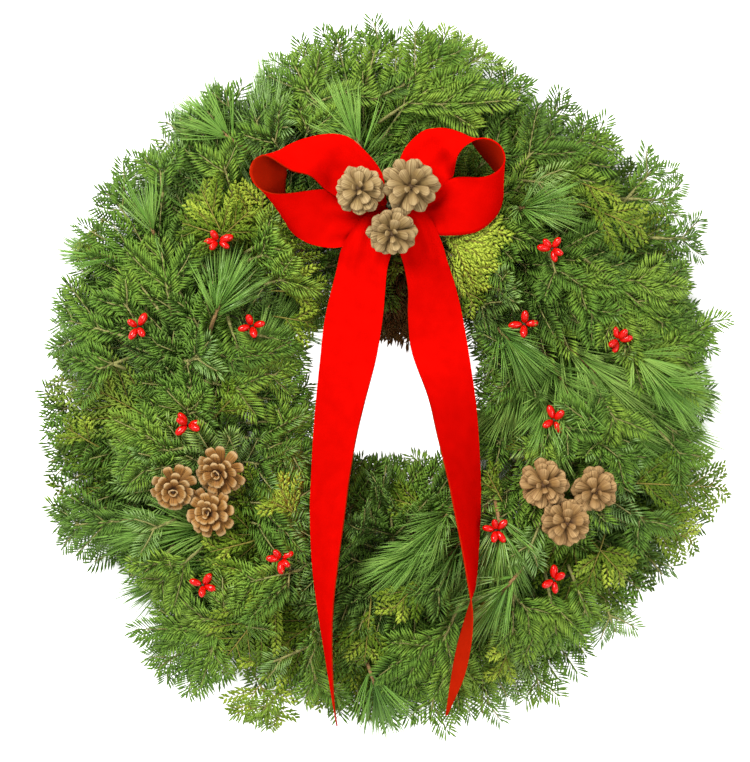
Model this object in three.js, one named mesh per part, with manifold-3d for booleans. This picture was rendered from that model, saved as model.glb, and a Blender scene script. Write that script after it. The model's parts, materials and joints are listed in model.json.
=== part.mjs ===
// A fresh evergreen wreath, 24 inches across, lying face up on its clamp ring.
// Millimetres, +Z up. X runs to the right and Y to the top of the wreath as it would hang on a door.
// Three tiers of cut branches (fir, pine and cedar) are held side by side under the clamps of a
// 12 inch wire ring. A red ribbon bow, nine pine cones and twelve berry picks lie on the face.
// The model is laid out round the ring's centre and moved at the end, so that the origin lies at the
// middle of the underside of its bounding box.

import * as THREE from 'three';
import { mergeVertices } from 'three/addons/utils/BufferGeometryUtils.js';
import Module from 'manifold-3d';

const wasm = await Module();
wasm.setup();

const UP = new THREE.Vector3(0, 0, 1);
const GAP = 0.35;
const FLOOR_GAP = 0.8;

// Seeded random numbers: each follows from the one before, as a share of the whole range.
const SEED = 20261;
const RANDOM_FACTOR = 1664525;
const RANDOM_STEP = 1013904223;
const RANDOM_RANGE = 2 ** 32;

// Photograph frame: how a pixel becomes a place on the wreath, seen from straight above.
const WREATH_DIAMETER = 610;
const WREATH_PIXELS = 700;
const PIXEL = WREATH_DIAMETER / WREATH_PIXELS;
const VIEW_CENTRE = { x: 375, y: 381 };
const WREATH_CENTRE = { x: 388, y: 385 };
const CAMERA_HEIGHT = 3000;
const RIM_HEIGHT = 40;

// Clamp ring: two rails, flat bars across them and a clamp over the stems at each bar.
const RAIL_OUTER_RADIUS = 152;
const RAIL_INNER_RADIUS = 114;
const RAIL_WIRE = 3.6;
const RAIL_STEPS = 22;
const RAIL_CLEAR = 2.6;
const BAR_BOTTOM = 0.6;
const BAR_TOP = 3.2;
const BAR_WIDTH = 3.2;
const CLAMP_WIRE = 2.2;
const CLAMP_HEIGHT = 13.8;
const CLAMP_SHOULDER = 2.4;

// Branches: eleven stations round the ring, and a branch of each tier at every station. The cut stems
// of a branch run clockwise along a lane of the ring, and its sprigs leave the lane one by one.
const STATIONS = 11;
const STATION_STEP = 360 / STATIONS;
const FIRST_STATION = 135;
const CLAMP_AHEAD = 3.5;
const LANE_START = 1;
const LANE_LENGTH = 29;
const LANE_STEPS = 2;
const LANE_CORE = 4.6;
const LANE_HEIGHT = BAR_TOP + GAP + LANE_CORE / 2;

// Sprigs of each tier: where one leaves the lane in degrees, how far from the centre it reaches,
// and its height halfway and at the tip. Needles start at a share of its length.
const TIERS = {
  outer: {
    lane: 144.5,
    sweep: 28,
    needlesFrom: 0.38,
    needles: 12,
    sprigs: [
      { leave: 7, reach: 312, middle: 26, tip: 22 },
      { leave: 16, reach: 307, middle: 38, tip: 36 },
      { leave: 25, reach: 298, middle: 52, tip: 50 },
    ],
  },
  face: {
    lane: 133,
    sweep: 30,
    needlesFrom: 0.28,
    needles: 9,
    sprigs: [
      { leave: 6, reach: 244, middle: 64, tip: 62 },
      { leave: 15, reach: 222, middle: 72, tip: 72 },
      { leave: 24, reach: 198, middle: 70, tip: 76 },
    ],
  },
  inner: {
    lane: 121.5,
    sweep: 26,
    needlesFrom: 0.3,
    needles: 7,
    sprigs: [
      { leave: 9, reach: 84, middle: 42, tip: 46 },
      { leave: 23, reach: 76, middle: 30, tip: 28 },
    ],
  },
};
const SPRIG_STEPS = [0, 0.3, 0.65, 1];
const REACH_AT_TOP = 1.05;
const INNER_PAST = 26;
const SWEEP_CURVE = 1.6;
const REACH_CURVE = 1.1;
const LAST_NEEDLE = 0.98;
const LEAVE_JITTER = 1;
const REACH_JITTER = 7;
const HEIGHT_JITTER = 3;

// The kind of each branch, clockwise from the top of the wreath.
const KINDS = {
  outer: [
    'fir', 'fir', 'cedar', 'pine', 'cedar', 'fir', 'cedar', 'pine', 'cedar', 'fir', 'pine',
  ],
  face: [
    'pine', 'fir', 'fir', 'pine', 'fir', 'pine', 'fir', 'cedar', 'fir', 'fir', 'cedar',
  ],
  inner: [
    'fir', 'cedar', 'fir', 'pine', 'fir', 'fir', 'fir', 'fir', 'fir', 'pine', 'fir',
  ],
};

// How each kind grows: stem radius at its root and tip, how far the needles stand past the stem,
// needle length, its angle to the stem, its width and thickness, and the turns round the stem at
// which needles follow each other (0 is to the right, 90 up).
const GROWTH = {
  fir: {
    stem: [2.5, 2],
    past: 14,
    length: [17, 22],
    lean: 54,
    width: 1.7,
    thickness: 1.3,
    turns: [22, 158, 44, 136, 22, 158, 270],
  },
  pine: {
    stem: [2.5, 2],
    past: 52,
    length: [58, 72],
    lean: 27,
    width: 1.4,
    thickness: 1.1,
    turns: [30, 150, 270, 44, 136, 20, 160],
  },
  cedar: {
    stem: [2.7, 2.3],
    past: 20,
    length: [24, 36],
    lean: 42,
    width: 2.6,
    thickness: 1.4,
    turns: [26, 154],
  },
};
const BEND_TURNS = [0, 14, -14, 240];
const SHORTER = [1, 0.78, 0.6, 0.45];

// Dome of the foliage, which the things on the face stand on.
const DOME_RADIUS = 165;
const DOME_EDGE = 35;
const DOME_RISE = 65;
const DOME_OUTWARD = 140;
const DOME_INWARD = 115;

// Bow: red ribbon two inches wide. Each rung gives the two edges of the ribbon in the photograph,
// the height of the rung and the share of its width that is left where it is gathered or cut.
const RIBBON_WIDTH = 50.8;
const RIBBON_THICKNESS = 1.2;
const BOW_CENTRE = { x: 390, y: 206 };
const TIE_RADIUS = 3;
const TIE_BOTTOM = 92;
const TIE_TOP = 121;
const TIE_WIRE = 1.1;
const TIE_BEND = RAIL_WIRE * 2;
const TIE_SIDES = 6;
const PINCH = 0.14;

// The height of a loop's rung is that of its back edge. The front edge stands above it.
const LEFT_LOOP = [
  { edges: [[386.1, 207], [386.1, 207]], height: 96, share: PINCH },
  { edges: [[371, 206], [372, 217]], height: 96, share: 0.28 },
  { edges: [[352, 203], [350, 230]], height: 98, share: 0.5 },
  { edges: [[325, 192], [327, 247]], height: 100, share: 1 },
  { edges: [[286, 195], [304, 240]], height: 100, share: 1 },
  { edges: [[262, 190], [283, 224]], height: 100, share: 1 },
  { edges: [[252, 172], [269, 190]], height: 101, share: 1 },
  { edges: [[259, 160], [267, 164]], height: 101, share: 1 },
  { edges: [[275, 162], [283, 149]], height: 101, share: 1 },
  { edges: [[292, 173], [304, 139]], height: 101, share: 1 },
  { edges: [[311, 178], [331, 134]], height: 102, share: 1 },
  { edges: [[326, 189], [350, 140]], height: 102, share: 1 },
  { edges: [[352, 197], [368, 160]], height: 101, share: 0.72 },
  { edges: [[371, 201], [376, 184]], height: 101, share: 0.36 },
  { edges: [[386.1, 205], [386.1, 205]], height: 105, share: PINCH },
];
const RIGHT_LOOP = [
  { edges: [[393.9, 207], [393.9, 207]], height: 96, share: PINCH },
  { edges: [[410, 205], [409, 218]], height: 96, share: 0.3 },
  { edges: [[430, 192], [428, 228]], height: 98, share: 0.66 },
  { edges: [[453, 179], [444, 235]], height: 99, share: 1 },
  { edges: [[480, 179], [480, 230]], height: 99, share: 1 },
  { edges: [[495, 174.5], [496, 215]], height: 100, share: 1 },
  { edges: [[502, 166], [503, 198]], height: 100, share: 1 },
  { edges: [[500, 153], [500, 178]], height: 100, share: 1 },
  { edges: [[487, 143], [489, 160]], height: 100, share: 1 },
  { edges: [[470, 143], [473, 140]], height: 100, share: 1 },
  { edges: [[455, 159], [452, 130]], height: 101, share: 1 },
  { edges: [[440, 172], [433, 128]], height: 101, share: 0.9 },
  { edges: [[424, 184], [415, 138]], height: 101, share: 0.82 },
  { edges: [[408, 198], [403, 168]], height: 101, share: 0.55 },
  { edges: [[393.9, 205], [393.9, 205]], height: 105, share: PINCH },
];

// The height of a tail's rung is that of its middle, and the share of its width shrinks to a point.
const LEFT_TAIL = [
  { edges: [[388.6, 209.7], [388.6, 209.7]], height: 99.5, share: PINCH },
  { edges: [[371, 227], [387, 231]], height: 99, share: 0.33 },
  { edges: [[343, 248], [392, 250]], height: 97, share: 0.9 },
  { edges: [[336, 272], [387, 271]], height: 94, share: 0.95 },
  { edges: [[325, 318], [383, 316]], height: 88, share: 1 },
  { edges: [[320, 360], [376, 359]], height: 84, share: 1 },
  { edges: [[316, 401], [365, 401]], height: 82, share: 1 },
  { edges: [[313, 440], [356, 439]], height: 84, share: 1 },
  { edges: [[311, 480], [349, 480]], height: 92, share: 1 },
  { edges: [[310, 512], [345, 512]], height: 100, share: 0.945 },
  { edges: [[312, 563], [338, 563]], height: 105, share: 0.75 },
  { edges: [[318, 612], [333, 609]], height: 101, share: 0.55 },
  { edges: [[325, 655], [332, 653]], height: 89, share: 0.33 },
  { edges: [[333, 703], [334, 703]], height: 68, share: 0.14 },
  { edges: [[337, 726], [337, 726]], height: 55, share: 0.05 },
];
const RIGHT_TAIL = [
  { edges: [[391.4, 209.7], [391.4, 209.7]], height: 99.5, share: PINCH },
  { edges: [[396, 229], [410, 227]], height: 99, share: 0.3 },
  { edges: [[400, 248], [433, 242]], height: 97, share: 0.68 },
  { edges: [[404, 267], [448, 263]], height: 95, share: 0.85 },
  { edges: [[408, 291], [456, 288]], height: 91, share: 0.92 },
  { edges: [[408, 319], [463, 319]], height: 88, share: 0.98 },
  { edges: [[412, 353], [470, 360]], height: 85, share: 1 },
  { edges: [[428, 397], [476, 403]], height: 84, share: 1 },
  { edges: [[437, 435], [479, 439]], height: 87, share: 1 },
  { edges: [[448, 480], [481, 480]], height: 95, share: 1 },
  { edges: [[453, 505], [481, 505]], height: 101, share: 0.96 },
  { edges: [[462, 550], [479, 550]], height: 106, share: 0.82 },
  { edges: [[468, 585], [476, 585]], height: 107, share: 0.7 },
  { edges: [[471, 603], [471, 603]], height: 106, share: 0.62 },
  { edges: [[472, 621], [465, 622]], height: 103, share: 0.55 },
  { edges: [[470, 646], [457, 650]], height: 96, share: 0.46 },
  { edges: [[463, 678], [451, 682]], height: 85, share: 0.33 },
  { edges: [[447, 715], [446, 716]], height: 66, share: 0.05 },
];
const RUNG_SAMPLES = 6;
const RUNG_CLEAR = 3.4;

const CONE_LENGTH = 34;
const CONE_LOBES = 7;
// Rows of a cone from its base to its tip: height as a share of its length, reach of the scales and
// depth of the notches between them as shares of its radius, and the turn of the row in scales.
const CONE_ROWS = [
  { height: 0.06, reach: 0.4, notch: 0.34, turn: 0 },
  { height: 0.3, reach: 1, notch: 0.5, turn: 0 },
  { height: 0.42, reach: 0.46, notch: 0.4, turn: 0.25 },
  { height: 0.64, reach: 0.8, notch: 0.36, turn: 0.5 },
  { height: 0.86, reach: 0.46, notch: 0.2, turn: 1 },
];
// Cones: middle in the photograph, radius, height of the base, and the tilt and direction of the axis.
const CONES = [
  { name: 'cone_bow_left', x: 359.5, y: 190.5, radius: 19.8, base: 118, tilt: 8, toward: 160 },
  { name: 'cone_bow_right', x: 411, y: 187, radius: 21.4, base: 118, tilt: 6, toward: 40 },
  { name: 'cone_bow_lower', x: 393, y: 234, radius: 19.4, base: 118, tilt: 6, toward: 275 },
  { name: 'cone_left_upper', x: 219, y: 468, radius: 19.6, base: 90, tilt: 10, toward: 60 },
  { name: 'cone_left_outer', x: 172, y: 489, radius: 18.3, base: 86, tilt: 16, toward: 190 },
  { name: 'cone_left_lower', x: 211, y: 515, radius: 19.6, base: 88, tilt: 12, toward: 260 },
  { name: 'cone_right_inner', x: 543, y: 484, radius: 20.8, base: 90, tilt: 10, toward: 120 },
  { name: 'cone_right_outer', x: 596, y: 490, radius: 19.4, base: 87, tilt: 14, toward: 10 },
  { name: 'cone_right_lower', x: 566, y: 530, radius: 19.8, base: 88, tilt: 12, toward: 280 },
];
// The first cones are the ones over the bow, whose legs stand on the wire that ties it.
const CONES_ON_BOW = 3;
// Shares of a cone's length: where its leg starts and where it is widest. Its body is narrower.
const CONE_ROOT = 0.1;
const CONE_WIDEST = [0.2, 0.5];
const CONE_BODY = 0.6;
const CONE_WIRE = 1.1;
const CONE_CLEAR = 0.5;
const STEEP = 0.94;

// Wire legs: each stands a little clear of its stem, and is thicker where it enters what it carries.
const LEG_CROWN = 2.5;
const LEG_CROWN_WIDER = 1.4;
const LEG_SHORTENING = GAP / 3;
const SEAT_BELOW = 8;
const SEAT_GAP = GAP * 2;

// Berry picks: where the berries fan out in the photograph, and how many there are.
const BERRY_LENGTH = 10;
const BERRY_WIDTH = 6.8;
const STALK_LENGTH = 8;
const STALK_RADIUS = 0.9;
const BERRY_SIDES = 5;
const BERRY_PROFILE = [
  [0, 0],
  [(STALK_RADIUS * 2) / BERRY_WIDTH, STALK_LENGTH],
  [1, STALK_LENGTH + BERRY_LENGTH * 0.36],
  [0.82, STALK_LENGTH + BERRY_LENGTH * 0.78],
  [0, STALK_LENGTH + BERRY_LENGTH],
];
const BERRY_LEAN = [64, 40];
const BERRY_TURN_JITTER = 8;
const BERRY_LEAN_JITTER = 5;
const BERRY_SINK = 6;
const PICK_WIRE = 1;
const PICKS = [
  { x: 218, y: 241, berries: 5 },
  { x: 552, y: 249, berries: 5 },
  { x: 524, y: 324, berries: 4 },
  { x: 618, y: 340, berries: 5 },
  { x: 554, y: 420, berries: 4 },
  { x: 496, y: 530, berries: 5 },
  { x: 554, y: 580, berries: 4 },
  { x: 281, y: 559, berries: 5 },
  { x: 203, y: 585, berries: 4 },
  { x: 188, y: 424, berries: 5 },
  { x: 138, y: 327, berries: 4 },
  { x: 252, y: 326, berries: 4 },
];

const FINISHES = {
  fir: { color: 0x3f6f2a, roughness: 0.6, metalness: 0 },
  pine: { color: 0x4c8a55, roughness: 0.6, metalness: 0 },
  cedar: { color: 0x7f9a1c, roughness: 0.65, metalness: 0 },
  wire: { color: 0x55584e, roughness: 0.45, metalness: 1 },
  ribbon: { color: 0xe00c08, roughness: 0.85, metalness: 0 },
  cone: { color: 0xb08a58, roughness: 0.8, metalness: 0 },
  berry: { color: 0xd3120c, roughness: 0.12, metalness: 0 },
};

const wreath = new THREE.Group();

// Every rod, needle and berry that is placed is noted as a capsule, so that what comes later can
// keep clear of it.
const placed = [];

let randomState = SEED;

function random() {
  randomState = (Math.imul(randomState, RANDOM_FACTOR) + RANDOM_STEP) >>> 0;
  return randomState / RANDOM_RANGE;
}

function jitter(spread) {
  return (random() * 2 - 1) * spread;
}

function mix(a, b, t) {
  return a + (b - a) * t;
}

function radians(degrees) {
  return (degrees * Math.PI) / 180;
}

function polar(degrees, radius, z) {
  const angle = radians(degrees);
  return new THREE.Vector3(Math.cos(angle) * radius, Math.sin(angle) * radius, z);
}

function atPhoto(x, y, z) {
  const scale = (PIXEL * (CAMERA_HEIGHT - z)) / (CAMERA_HEIGHT - RIM_HEIGHT);
  return new THREE.Vector3(
    (VIEW_CENTRE.x - WREATH_CENTRE.x) * PIXEL + (x - VIEW_CENTRE.x) * scale,
    (WREATH_CENTRE.y - VIEW_CENTRE.y) * PIXEL + (VIEW_CENTRE.y - y) * scale,
    z,
  );
}

function dome(radius) {
  const width = radius > DOME_RADIUS ? DOME_OUTWARD : DOME_INWARD;
  const turn = Math.min(1, Math.abs(radius - DOME_RADIUS) / width);
  return DOME_EDGE + DOME_RISE * Math.cos((turn * Math.PI) / 2);
}

// Meshes and solids.

function geometryFrom(points, triangles) {
  const geometry = new THREE.BufferGeometry();
  const flat = points.flatMap((point) => [point.x, point.y, point.z]);
  geometry.setAttribute('position', new THREE.Float32BufferAttribute(flat, 3));
  geometry.setIndex(triangles.flat());
  return geometry;
}

function solidFrom(geometry) {
  const bare = geometry.clone();
  bare.deleteAttribute('normal');
  bare.deleteAttribute('uv');
  const merged = mergeVertices(bare, 1e-4);
  return new wasm.Manifold(
    new wasm.Mesh({
      numProp: 3,
      vertProperties: merged.attributes.position.array,
      triVerts: new Uint32Array(merged.index.array),
    }),
  );
}

function geometryOf(solid) {
  const mesh = solid.getMesh();
  const geometry = new THREE.BufferGeometry();
  geometry.setAttribute('position', new THREE.Float32BufferAttribute(mesh.vertProperties, 3));
  geometry.setIndex([...mesh.triVerts]);
  geometry.computeVertexNormals();
  return geometry;
}

// Joins a list of closed geometries, and keeps the largest body if a scrap comes loose.
function fuse(geometries) {
  const joined = wasm.Manifold.union(geometries.map(solidFrom));
  const bodies = joined.decompose().sort((a, b) => b.volume() - a.volume());
  return bodies[0];
}

function addMesh(name, finish, geometry) {
  const mesh = new THREE.Mesh(geometry, new THREE.MeshStandardMaterial(FINISHES[finish]));
  mesh.name = name;
  wreath.add(mesh);
}

// Sideways and upward directions of a limb that runs along a direction.
function crossFrame(direction) {
  const reference = Math.abs(direction.z) > STEEP ? new THREE.Vector3(1, 0, 0) : UP;
  const side = new THREE.Vector3().crossVectors(direction, reference).normalize();
  const lift = new THREE.Vector3().crossVectors(side, direction).normalize();
  return { side, lift };
}

function directionsAlong(points) {
  return points.map((_, i) => {
    const before = points[Math.max(0, i - 1)];
    const after = points[Math.min(points.length - 1, i + 1)];
    return new THREE.Vector3().subVectors(after, before).normalize();
  });
}

// A tapering rod of few sides through a line of points, closed at both ends, with an edge on top.
function rod(points, radii, sides = 3) {
  const directions = directionsAlong(points);
  const corners = [];
  points.forEach((point, i) => {
    const { side, lift } = crossFrame(directions[i]);
    for (let k = 0; k < sides; k += 1) {
      const angle = Math.PI / 2 + (k * 2 * Math.PI) / sides;
      const corner = point.clone();
      corner.addScaledVector(side, Math.cos(angle) * radii[i]);
      corner.addScaledVector(lift, Math.sin(angle) * radii[i]);
      corners.push(corner);
    }
  });
  const triangles = [];
  const last = (points.length - 1) * sides;
  for (let i = 0; i < points.length - 1; i += 1) {
    for (let k = 0; k < sides; k += 1) {
      const a = i * sides + k;
      const b = i * sides + ((k + 1) % sides);
      triangles.push([a, a + sides, b], [b, a + sides, b + sides]);
    }
  }
  for (let k = 1; k < sides - 1; k += 1) {
    triangles.push([0, k, k + 1], [last, last + k + 1, last + k]);
  }
  return geometryFrom(corners, triangles);
}

// A three-sided needle whose base lies across the middle of its stem.
function needle(root, tip, width, thickness) {
  const direction = new THREE.Vector3().subVectors(tip, root).normalize();
  const { side, lift } = crossFrame(direction);
  const below = root.clone().addScaledVector(lift, -thickness / 3);
  const corners = [
    below.clone().addScaledVector(side, -width / 2),
    below.clone().addScaledVector(side, width / 2),
    root.clone().addScaledVector(lift, (thickness * 2) / 3),
    tip,
  ];
  return geometryFrom(corners, [
    [0, 1, 2],
    [0, 3, 1],
    [1, 3, 2],
    [2, 3, 0],
  ]);
}

// Keeping clear.

function note(start, end, radius, node, part, isStem = false) {
  placed.push({ start, end, radius, node, part, isStem });
}

function noteLine(points, radii, node, part, isStem) {
  for (let i = 1; i < points.length; i += 1) {
    note(points[i - 1], points[i], Math.max(radii[i - 1], radii[i]), node, part, isStem);
  }
}

// Shortest distance between the stretches p to q and s to e.
function distanceBetween(p, q, s, e) {
  const first = new THREE.Vector3().subVectors(q, p);
  const second = new THREE.Vector3().subVectors(e, s);
  const between = new THREE.Vector3().subVectors(p, s);
  const a = first.lengthSq();
  const b = first.dot(second);
  const c = second.lengthSq();
  const d = first.dot(between);
  const f = second.dot(between);
  const clamp = (value) => Math.min(1, Math.max(0, value));
  const spread = a * c - b * b;
  let t = spread > 1e-9 ? clamp((b * f - c * d) / spread) : 0;
  const u = c > 1e-9 ? clamp((b * t + f) / c) : 0;
  t = a > 1e-9 ? clamp((b * u - d) / a) : 0;
  const onFirst = p.clone().addScaledVector(first, t);
  const onSecond = s.clone().addScaledVector(second, u);
  return onFirst.distanceTo(onSecond);
}

// True where a stretch of a node's part touches nothing else and stays off the ground.
function isClear(start, end, radius, node, part) {
  if (Math.min(start.z, end.z) - radius < FLOOR_GAP) {
    return false;
  }
  return placed.every((other) => {
    if (other.node === node && other.part === part) {
      return true;
    }
    const gap = other.node === node ? 0 : GAP;
    const limit = other.radius + radius + gap;
    return distanceBetween(start, end, other.start, other.end) > limit;
  });
}

// Clamp ring.

function rail(radius) {
  const half = RAIL_WIRE / 2;
  const profile = [
    new THREE.Vector2(radius - half, 0),
    new THREE.Vector2(radius + half, 0),
    new THREE.Vector2(radius + half, RAIL_WIRE),
    new THREE.Vector2(radius - half, RAIL_WIRE),
    new THREE.Vector2(radius - half, 0),
  ];
  return new THREE.LatheGeometry(profile, RAIL_STEPS).rotateX(Math.PI / 2);
}

function clampAngle(station) {
  return FIRST_STATION - station * STATION_STEP - CLAMP_AHEAD;
}

function crossBar(degrees) {
  const length = RAIL_OUTER_RADIUS - RAIL_INNER_RADIUS;
  const bar = new THREE.BoxGeometry(length, BAR_WIDTH, BAR_TOP - BAR_BOTTOM);
  bar.translate(RAIL_INNER_RADIUS + length / 2, 0, (BAR_TOP + BAR_BOTTOM) / 2);
  return bar.rotateZ(radians(degrees));
}

function clamp(degrees) {
  const foot = RAIL_WIRE / 2;
  const points = [
    polar(degrees, RAIL_OUTER_RADIUS, foot),
    polar(degrees, RAIL_OUTER_RADIUS - CLAMP_SHOULDER, CLAMP_HEIGHT),
    polar(degrees, RAIL_INNER_RADIUS + CLAMP_SHOULDER, CLAMP_HEIGHT),
    polar(degrees, RAIL_INNER_RADIUS, foot),
  ];
  const half = CLAMP_WIRE / 2;
  const across = polar(degrees + 90, half, 0);
  const corners = [];
  const directions = directionsAlong(points);
  points.forEach((point, i) => {
    const outward = new THREE.Vector3().crossVectors(directions[i], across).setLength(half);
    corners.push(point.clone().add(across).add(outward));
    corners.push(point.clone().sub(across).add(outward));
    corners.push(point.clone().sub(across).sub(outward));
    corners.push(point.clone().add(across).sub(outward));
  });
  const triangles = [];
  const last = (points.length - 1) * 4;
  for (let i = 0; i < points.length - 1; i += 1) {
    for (let k = 0; k < 4; k += 1) {
      const a = i * 4 + k;
      const b = i * 4 + ((k + 1) % 4);
      triangles.push([a, b, a + 4], [b, b + 4, a + 4]);
    }
  }
  triangles.push([0, 2, 1], [0, 3, 2], [last, last + 1, last + 2], [last, last + 2, last + 3]);
  note(points[1], points[2], half + GAP, 'clamp_ring', 'clamp');
  return geometryFrom(corners, triangles);
}

function addClampRing() {
  const pieces = [rail(RAIL_OUTER_RADIUS), rail(RAIL_INNER_RADIUS)];
  for (let station = 0; station < STATIONS; station += 1) {
    pieces.push(crossBar(clampAngle(station)), clamp(clampAngle(station)));
  }
  for (let step = 0; step < RAIL_STEPS; step += 1) {
    const from = (step * 360) / RAIL_STEPS;
    const to = ((step + 1) * 360) / RAIL_STEPS;
    [RAIL_OUTER_RADIUS, RAIL_INNER_RADIUS].forEach((radius) => {
      const height = RAIL_WIRE / 2;
      note(polar(from, radius, height), polar(to, radius, height), RAIL_CLEAR, 'clamp_ring', 'rail');
    });
  }
  addMesh('clamp_ring', 'wire', geometryOf(fuse(pieces)));
}

// Bow.

// The two edges of a ribbon at a rung. The ribbon keeps its width, so what the photograph doesn't
// show of it is height. rise is 1 where the second edge is the higher one and -1 where the first is.
function loopEdges(rung) {
  const [front, back] = rung.edges.map(([x, y]) => atPhoto(x, y, rung.height));
  const width = RIBBON_WIDTH * rung.share;
  const seen = Math.min(width, front.distanceTo(back));
  front.z += Math.sqrt(width * width - seen * seen);
  return [front, back];
}

function tailEdges(rung, rise) {
  const edges = rung.edges.map(([x, y]) => atPhoto(x, y, rung.height));
  const width = RIBBON_WIDTH * rung.share;
  const seen = Math.min(width, edges[0].distanceTo(edges[1]));
  const half = Math.sqrt(width * width - seen * seen) / 2;
  edges[0].z -= half * rise;
  edges[1].z += half * rise;
  return edges;
}

function ribbonSolid(rungs) {
  const middles = rungs.map(([a, b]) => a.clone().lerp(b, 0.5));
  const directions = directionsAlong(middles);
  const corners = [];
  rungs.forEach(([a, b], i) => {
    const across = new THREE.Vector3().subVectors(b, a).normalize();
    const face = new THREE.Vector3().crossVectors(directions[i], across);
    face.setLength(RIBBON_THICKNESS / 2);
    corners.push(a.clone().add(face), b.clone().add(face), b.clone().sub(face), a.clone().sub(face));
  });
  const triangles = [];
  const last = (rungs.length - 1) * 4;
  for (let i = 0; i < last; i += 4) {
    triangles.push([i, i + 4, i + 1], [i + 1, i + 4, i + 5]);
    triangles.push([i + 3, i + 2, i + 7], [i + 2, i + 6, i + 7]);
    triangles.push([i + 1, i + 5, i + 2], [i + 2, i + 5, i + 6]);
    triangles.push([i + 3, i + 7, i], [i, i + 7, i + 4]);
  }
  triangles.push([0, 1, 2], [0, 2, 3], [last, last + 2, last + 1], [last, last + 3, last + 2]);
  return geometryFrom(corners, triangles);
}

function addRibbon(name, rungs) {
  for (let i = 1; i < rungs.length; i += 1) {
    for (let k = 0; k <= RUNG_SAMPLES; k += 1) {
      const t = k / RUNG_SAMPLES;
      const a = rungs[i - 1][0].clone().lerp(rungs[i][0], t);
      const b = rungs[i - 1][1].clone().lerp(rungs[i][1], t);
      note(a, b, RUNG_CLEAR, name, 'ribbon');
    }
  }
  addMesh(name, 'ribbon', ribbonSolid(rungs));
}

// The wire that gathers the ribbon runs down beside the outer rail.
function addBowTie() {
  const { x, y } = BOW_CENTRE;
  const top = atPhoto(x, y, TIE_TOP);
  const bottom = atPhoto(x, y, TIE_BOTTOM);
  const footRadius = RAIL_OUTER_RADIUS + RAIL_WIRE / 2 + GAP + TIE_WIRE;
  const foot = new THREE.Vector3(bottom.x, footRadius, FLOOR_GAP);
  const bend = new THREE.Vector3(bottom.x, footRadius, TIE_BEND);
  const neck = bottom.clone().setZ(TIE_BOTTOM - TIE_RADIUS);
  const points = [foot, bend, neck, bottom, top];
  const radii = [TIE_WIRE, TIE_WIRE, TIE_WIRE, TIE_RADIUS, TIE_RADIUS];
  noteLine(points, radii, 'bow_tie', 'wire', false);
  addMesh('bow_tie', 'wire', rod(points, radii, TIE_SIDES));
  return top;
}

// Things on wires.

// The legs of cones and picks are added once the stems that carry them are placed.
const waiting = [];

function coneAxis(cone) {
  return polar(cone.toward, Math.sin(radians(cone.tilt)), Math.cos(radians(cone.tilt)));
}

function conePieces(cone) {
  const axis = coneAxis(cone);
  const middle = atPhoto(cone.x, cone.y, cone.base + CONE_LENGTH / 2);
  const base = middle.clone().addScaledVector(axis, -CONE_LENGTH / 2);
  const { side, lift } = crossFrame(axis);
  const at = (turn, radius, height) => {
    const point = base.clone().addScaledVector(axis, height * CONE_LENGTH);
    point.addScaledVector(side, Math.cos(turn) * radius);
    return point.addScaledVector(lift, Math.sin(turn) * radius);
  };
  const columns = CONE_LOBES * 2;
  const corners = [at(0, 0, 0)];
  CONE_ROWS.forEach((row) => {
    for (let k = 0; k < columns; k += 1) {
      const share = k % 2 === 0 ? row.reach : row.notch;
      const turn = ((k / 2 + row.turn) * 2 * Math.PI) / CONE_LOBES;
      corners.push(at(turn, share * cone.radius, row.height));
    }
  });
  corners.push(at(0, 0, 1));
  const triangles = [];
  const tip = corners.length - 1;
  const lastRow = tip - columns;
  for (let k = 0; k < columns; k += 1) {
    const next = (k + 1) % columns;
    triangles.push([0, 1 + k, 1 + next], [tip, lastRow + next, lastRow + k]);
    for (let row = 1; row < lastRow; row += columns) {
      const a = row + k;
      const b = row + next;
      triangles.push([a, a + columns, b], [b, a + columns, b + columns]);
    }
  }
  const pieces = [geometryFrom(corners, triangles)];
  const [from, to] = CONE_WIDEST;
  note(at(0, 0, from), at(0, 0, to), cone.radius + CONE_CLEAR, cone.name, 'cone');
  note(at(0, 0, 0), at(0, 0, 1), cone.radius * CONE_BODY, cone.name, 'cone');
  return { pieces, root: at(0, 0, CONE_ROOT) };
}

function berryPieces(pick, name) {
  const radius = Math.hypot(pick.x - WREATH_CENTRE.x, pick.y - WREATH_CENTRE.y) * PIXEL;
  const hub = atPhoto(pick.x, pick.y, dome(radius) - BERRY_SINK);
  const start = random() * 360;
  const pieces = [];
  for (let k = 0; k < pick.berries; k += 1) {
    const turn = start + (k * 360) / pick.berries + jitter(BERRY_TURN_JITTER);
    const lean = radians(BERRY_LEAN[k % 2] + jitter(BERRY_LEAN_JITTER));
    const direction = polar(turn, Math.sin(lean), Math.cos(lean));
    const neck = hub.clone().addScaledVector(direction, STALK_LENGTH);
    const end = neck.clone().addScaledVector(direction, BERRY_LENGTH);
    const profile = BERRY_PROFILE.map(
      ([radius, height]) => new THREE.Vector2((radius * BERRY_WIDTH) / 2, height),
    );
    const berry = new THREE.LatheGeometry(profile, BERRY_SIDES).rotateX(Math.PI / 2);
    berry.applyQuaternion(new THREE.Quaternion().setFromUnitVectors(UP, direction));
    berry.translate(hub.x, hub.y, hub.z);
    pieces.push(berry);
    note(hub, neck, STALK_RADIUS, name, 'berries');
    note(neck, end, BERRY_WIDTH / 2, name, 'berries');
  }
  return { pieces, root: hub };
}

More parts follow.
